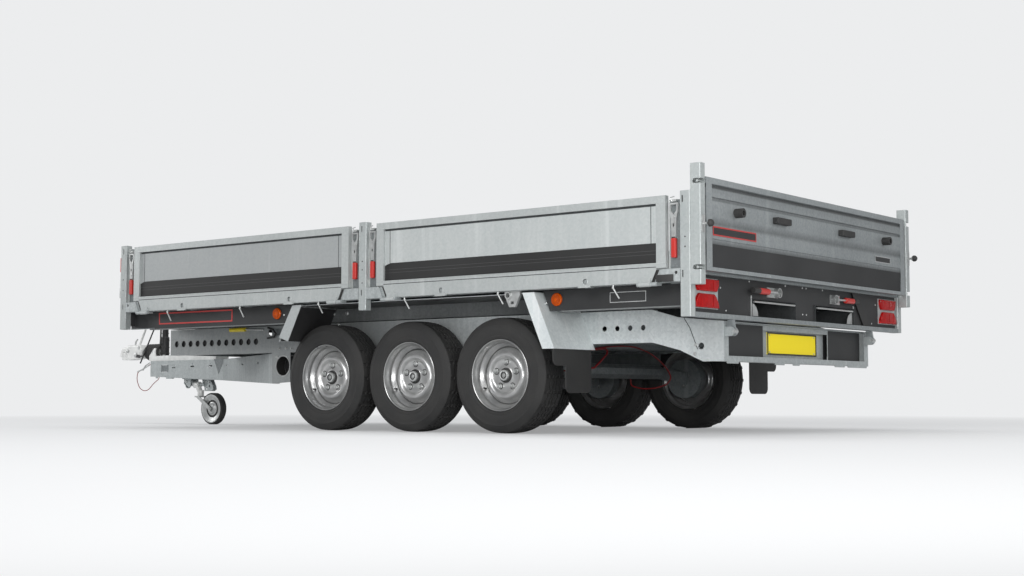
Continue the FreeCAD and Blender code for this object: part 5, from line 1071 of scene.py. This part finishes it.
piece("rampStrap", bm, "softRubber", "bed")
bm = bmesh.new()
width, out = tail["plateBorder"]
addFrame(bm, tail["plate"], width, (-out, 0, 0))
piece("plateFrame", bm, "blackPaint", "chassis")
bm = bmesh.new()
for y, z in tail["gateRivets"]:
    addRivet(bm, (tail["gateFace"], y, z), (-1, 0, 0), tail["gateRivet"])
piece("gateRivets", bm, "galvanised", "tailgate")
bm = bmesh.new()
for low, high in tail["gateRim"]:
    addBox(bm, low, high)
piece("gateRim", bm, "gateRim", "tailgate")
bm = bmesh.new()
addBox(bm, *tail["lowPanel"])
piece("gateLowPanel", bm, "darkPanel", "tailgate")
for name, (outline, border, field, width) in tail["stickers"].items():
    corners = [(tail["stickerFace"], y, z) for y, z in outline]
    bm = bmesh.new()
    addPlate(bm, corners, (-tail["fieldOut"], 0, 0))
    piece(name + "Field", bm, field, "tailgate")
    bm = bmesh.new()
    addFrame(bm, corners, width, (-tail["borderOut"], 0, 0))
    piece(name + "Border", bm, border, "tailgate")
print("tail done")


nose = {
    "bosses": ((5424, 520), (5330, 488), (5470, 505), (5300, 540)),
    "boss": (45, 48, 12),  # out from, out to, radius
    "caps": (
        ((5330, 0, 488), [(14, 48), (16, 53), (11, 56), (0, 57)]),
        ((5424, 0, 520), [(12, 48), (13, 52), (9, 55), (0, 56)]),
    ),
    "latchThick": 6,
    "latch": [(5400, 0, 556), (5392, 0, 590), (5374, 0, 604)],
    "shaft": 508,
    "collar": [(30, 5268), (34, 5270), (34, 5276), (30, 5278)],
    "shaftBolts": (5020, 4900, 4760, 4600, 4500),
    "shaftBolt": (44, 479, 8.5, 6),  # out, height, size, tall
    "gaiter": ((40, 5082), (44, 5244)),  # rear and front end
    "firstFold": 5086,
    "foldRadii": (52, 59),
    "folds": 11,
    "foldPitch": 15,
    "pumpRings": ((500, 33), (540, 31.5), (590, 31.5), (640, 25), (680, 25)),
    "pumpRing": (4, 2.5),  # half height at the foot and at the rim
    "pump": (5061, 0, 0),
    "hoseThick": 6,
    "pumpHose": [(5061, 26, 560), (5061, 44, 566), (5050, 50, 600), (5048, 50, 690)],
    "clip": (
        ([(5132, 78, 430), (5180, 78, 410), (5214, 72, 384)], 4),
        ([(5132, 78, 414), (5176, 78, 398), (5214, 72, 384)], 4),
        ([(5214, 72, 384), (5252, 64, 378), (5290, 60, 368)], 5),
    ),
    "clipJoint": ((5214, 72, 384), 8),
    "crease": [(4447, 75.3, 446), (4336, 75.3, 446), (4398, 75.3, 342)],
    "creaseThick": .5,
    "patch": ((4930, 71, 365), (5004, 72.4, 411)),
    "rivets": ((4870, 415), (4674, 418), (4483, 418), (5100, 360), (5100, 425)),
    "rivetOut": 75,
    "rivet": 5,
    "cover": ((4455, -50, 478.5), (5010, 50, 481)),
    "cableThick": 5,
    "cable": [
        (1125, 400, 428), (1125, 281, 440), (1125, 176, 446), (1125, 158, 434), (1125, 164, 416),
        (1125, 222, 378), (1125, 281, 342), (1135, 355, 329), (1200, 372, 322), (1330, 372, 330),
    ],
}
bm = bmesh.new()
for side in sides.values():
    near, far, radius = nose["boss"]
    for x, z in nose["bosses"]:
        addRod(bm, (x, side * near, z), (x, side * far, z), radius, 20)
    for centre, path in nose["caps"]:
        addSpin(bm, path, centre, side, 24)
addTube(bm, nose["latch"], nose["latchThick"], 12)
piece("headBosses", bm, "zinc", "chassis")
axis = (0, 0, nose["shaft"])
bm = bmesh.new()
addSpin(bm, nose["collar"], axis, 1, 32, (1, 0, 0), (0, 0, 1))
out, height, size, tall = nose["shaftBolt"]
for x in nose["shaftBolts"]:
    for side in sides.values():
        addBolt(bm, (x, side * out, height), (0, 0, 1), size, tall)
piece("housingBolts", bm, "zinc", "chassis")
bm = bmesh.new()
rear, front = nose["gaiter"]
first, pitch = nose["firstFold"], nose["foldPitch"]
folds = [(nose["foldRadii"][step % 2], first + pitch * step) for step in range(nose["folds"])]
addSpin(bm, [rear, *folds, front], axis, 1, 40, (1, 0, 0), (0, 0, 1))
piece("gaiterFolds", bm, "softRubber", "chassis")
bm = bmesh.new()
foot, rim = nose["pumpRing"]
for z, radius in nose["pumpRings"]:
    ring = [(radius - foot, z - foot), (radius, z - rim), (radius, z + rim), (radius - foot, z + foot)]
    addSpin(bm, ring, nose["pump"], 1, 32, (0, 0, 1), (1, 0, 0))
addTube(bm, nose["pumpHose"], nose["hoseThick"], 12)
piece("pumpRings", bm, "softRubber", "chassis")
bm = bmesh.new()
for route, radius in nose["clip"]:
    addTube(bm, route, radius, 10)
addBall(bm, *nose["clipJoint"])
piece("breakawayClip", bm, "zinc", "chassis")
bm = bmesh.new()
for side in sides.values():
    addPlate(bm, [onSide(corner, side) for corner in nose["crease"]], (0, side * nose["creaseThick"], 0))
    addSideBox(bm, nose["patch"], side)
piece("drawbarShade", bm, "galvanisedDull", "chassis")
bm = bmesh.new()
for side in sides.values():
    for x, z in nose["rivets"]:
        addRivet(bm, (x, side * nose["rivetOut"], z), (0, side, 0), nose["rivet"])
addBox(bm, *nose["cover"], 1)
piece("drawbarRivets", bm, "galvanised", "chassis")
bm = bmesh.new()
addTube(bm, nose["cable"], nose["cableThick"], 10)
piece("secondCable", bm, "redCable", "chassis")
print("drawbar done")


jockey = {
    "axle": (4530, 0, 108),
    "disc": [
        (94.2, 22), (97, 25.4), (92, 26), (86, 24), (74, 16), (58, 12.5), (46, 13), (36, 19), (29, 25.5),
        (20, 26), (9, 25.5),
    ],
    "nutOut": 36,
    "nut": (10, 7),
    "clampEye": ((4806, 0, 272), (4812, 0, 272), 16),
    "clampBolt": (11, 8),
    "bolts": ((4780, 36, 296), (4560, 16, 292), (4596, 16, 292)),
    "bolt": (7, 5),
    "treads": 24,
    "tread": (106, 18, 2),  # radius, half width, thickness
}
x, y, z = jockey["axle"]
for place, side in sides.items():
    bm = bmesh.new()
    addSpin(bm, jockey["disc"], jockey["axle"], side, 48)
    piece("jockeyDisc_" + place, bm, "zinc", "jockey_wheel")
    bm = bmesh.new()
    addBolt(bm, (x, side * jockey["nutOut"], z), (0, side, 0), *jockey["nut"])
    piece("jockeyNut_" + place, bm, "zinc", "jockey_fork")
bm = bmesh.new()
back, front, radius = jockey["clampEye"]
addRod(bm, back, front, radius, 20)
addBolt(bm, front, (1, 0, 0), *jockey["clampBolt"])
for side in sides.values():
    for spot in jockey["bolts"]:
        addBolt(bm, onSide(spot, side), (0, side, 0), *jockey["bolt"])
piece("jockeyBolts", bm, "zinc", "chassis")
bm = bmesh.new()
radius, half, thick = jockey["tread"]
for step in range(jockey["treads"]):
    angle = math.tau * step / jockey["treads"]
    spot = Vector((x + radius * math.cos(angle), 0, z + radius * math.sin(angle)))
    addRod(bm, spot - Vector((0, half, 0)), spot + Vector((0, half, 0)), thick, 6)
piece("jockeyTread", bm, "jockeyTyre", "jockey_wheel")
print("jockey wheel done")


deck = {
    "seams": (1300, 2600),
    "seam": (5, 1080, 766.6, 768.4),  # width, half length, bottom, top
    "floor": 767,
    "rivet": 3.4,
    "along": (150, 4050, 130),  # first, end and pitch of the rivets
    "across": (-1050, 1051, 210),
    "boltRows": ((1084, 780), (-900, -450, 0, 450, 900)),
    "rivetRows": ((820, 940, 1060), (-1040, 1040)),
    "headboard": 4095,
    "headBolt": (6, 4),
    "headRivet": 4,
    "field": ((4082, -1024, 797), (4082.6, 1024, 1062)),
}
bm = bmesh.new()
wide, half, bottom, upper = deck["seam"]
for x in deck["seams"]:
    addBox(bm, (x, -half, bottom), (x + wide, half, upper), .6)
for x in range(*deck["along"]):
    for y in range(*deck["across"]):
        addRivet(bm, (x, y, deck["floor"]), (0, 0, 1), deck["rivet"])
piece("floorRivets", bm, "floorPlate", "bed")
bm = bmesh.new()
heights, across = deck["boltRows"]
for y in across:
    for z in heights:
        addBolt(bm, (deck["headboard"], y, z), (1, 0, 0), *deck["headBolt"])
heights, across = deck["rivetRows"]
for y in across:
    for z in heights:
        addRivet(bm, (deck["headboard"], y, z), (1, 0, 0), deck["headRivet"])
piece("headboardBolts", bm, "zinc", "headboard")
bm = bmesh.new()
addBox(bm, *deck["field"])
piece("headboardField", bm, "skin", "headboard")
print("bed done")


studio = {
    "camera": (-3580, 6938, 175),
    "look": (.6189, -.7820, .0729),
    "lens": 53.306,
    "floor": tone(222, 223, 224),
    "floorRadius": 60,
    "backdrop": tone(236, 237, 238),
    "sky": (.97, .98, 1.0),
    "skyStrength": .40,
    "fade": (3.2, 8.0),
    "leastFade": .35,
    "lamps": {  # place and aim in metres, size, power
        "key": ((-3.2, 7.5, 4.2), (-.4, 0, .6), (7, 2.6), 300),
        "top": ((0, 0, 6.5), (0, 0, 0), (8, 4), 240),
        "rear": ((-8, -1.5, 3.2), (-2, 0, .7), (3, 2), 80),
        "front": ((7, 3, 2.4), (2, 0, .5), (3, 2), 90),
        "low": ((-6.4, 5.2, .7), (-2.0, .4, .4), (4, 1), 165),
    },
}


def makeFloor():
    look = Finish("pale floor", Roughness=.9)
    grain = look.noise(2.0, detail=2)
    look.put("Base Color", look.blend(grain, shaded(studio["floor"], .98), studio["floor"]))
    spot = look.node("ShaderNodeTexCoord", output="Object")
    reach = look.node("ShaderNodeVectorMath", {"operation": "LENGTH"}, {0: spot}, "Value")
    near, far = studio["fade"]
    limits = {"Value": reach, "From Min": near, "From Max": far, "To Min": studio["leastFade"]}
    fade = look.node("ShaderNodeMapRange", {}, limits)
    # The camera sees the floor run into the backdrop.
    glow = look.node("ShaderNodeEmission", {}, {"Color": (*studio["backdrop"], 1)})
    seen = look.node("ShaderNodeLightPath", output="Is Camera Ray")
    mix = look.tree.nodes.new("ShaderNodeMixShader")
    look.feed(mix.inputs[0], fade * seen)
    look.tree.links.new(look.shader.outputs[0], mix.inputs[1])
    look.tree.links.new(glow.socket, mix.inputs[2])
    look.tree.links.new(mix.outputs[0], look.tree.nodes["Material Output"].inputs["Surface"])
    bm = bmesh.new()
    bmesh.ops.create_circle(bm, cap_ends=True, segments=64, radius=studio["floorRadius"])
    mesh = bpy.data.meshes.new("studioFloor")
    bm.to_mesh(mesh)
    bm.free()
    mesh.materials.append(look.material)
    floor = bpy.data.objects.new("studioFloor", mesh)
    bpy.context.scene.collection.objects.link(floor)


def makeSky():
    world = bpy.data.worlds.new("studio")
    bpy.context.scene.world = world
    world.use_nodes = True
    tree = world.node_tree
    sky = tree.nodes["Background"]
    sky.inputs["Color"].default_value = (*studio["sky"], 1)
    sky.inputs["Strength"].default_value = studio["skyStrength"]
    bright = tree.nodes.new("ShaderNodeBackground")
    bright.inputs["Color"].default_value = (*studio["backdrop"], 1)
    path = tree.nodes.new("ShaderNodeLightPath")
    mix = tree.nodes.new("ShaderNodeMixShader")
    tree.links.new(path.outputs["Is Camera Ray"], mix.inputs[0])
    tree.links.new(sky.outputs[0], mix.inputs[1])
    tree.links.new(bright.outputs[0], mix.inputs[2])
    tree.links.new(mix.outputs[0], tree.nodes["World Output"].inputs["Surface"])


def addLamp(name, place, aim, size, power):
    lamp = bpy.data.lights.new(name, "AREA")
    lamp.shape = "RECTANGLE"
    lamp.size, lamp.size_y = size
    lamp.energy = power
    made = bpy.data.objects.new(name, lamp)
    bpy.context.scene.collection.objects.link(made)
    made.location = place
    made.rotation_mode = "QUATERNION"
    made.rotation_quaternion = (Vector(aim) - Vector(place)).to_track_quat("-Z", "Y")


makeFloor()
makeSky()
for name, (place, aim, size, power) in studio["lamps"].items():
    addLamp(name, place, aim, size, power)

lensData = bpy.data.cameras.new("camera")
lensData.lens = studio["lens"]
lensData.sensor_width = 36
lensData.clip_start = .05
lensData.clip_end = 200
camera = bpy.data.objects.new("camera", lensData)
bpy.context.scene.collection.objects.link(camera)
camera.location = at(*studio["camera"])
camera.rotation_mode = "QUATERNION"
camera.rotation_quaternion = Vector(studio["look"]).to_track_quat("-Z", "Y")
bpy.context.scene.camera = camera
bpy.context.scene.view_settings.view_transform = "Standard"
print("stage done")
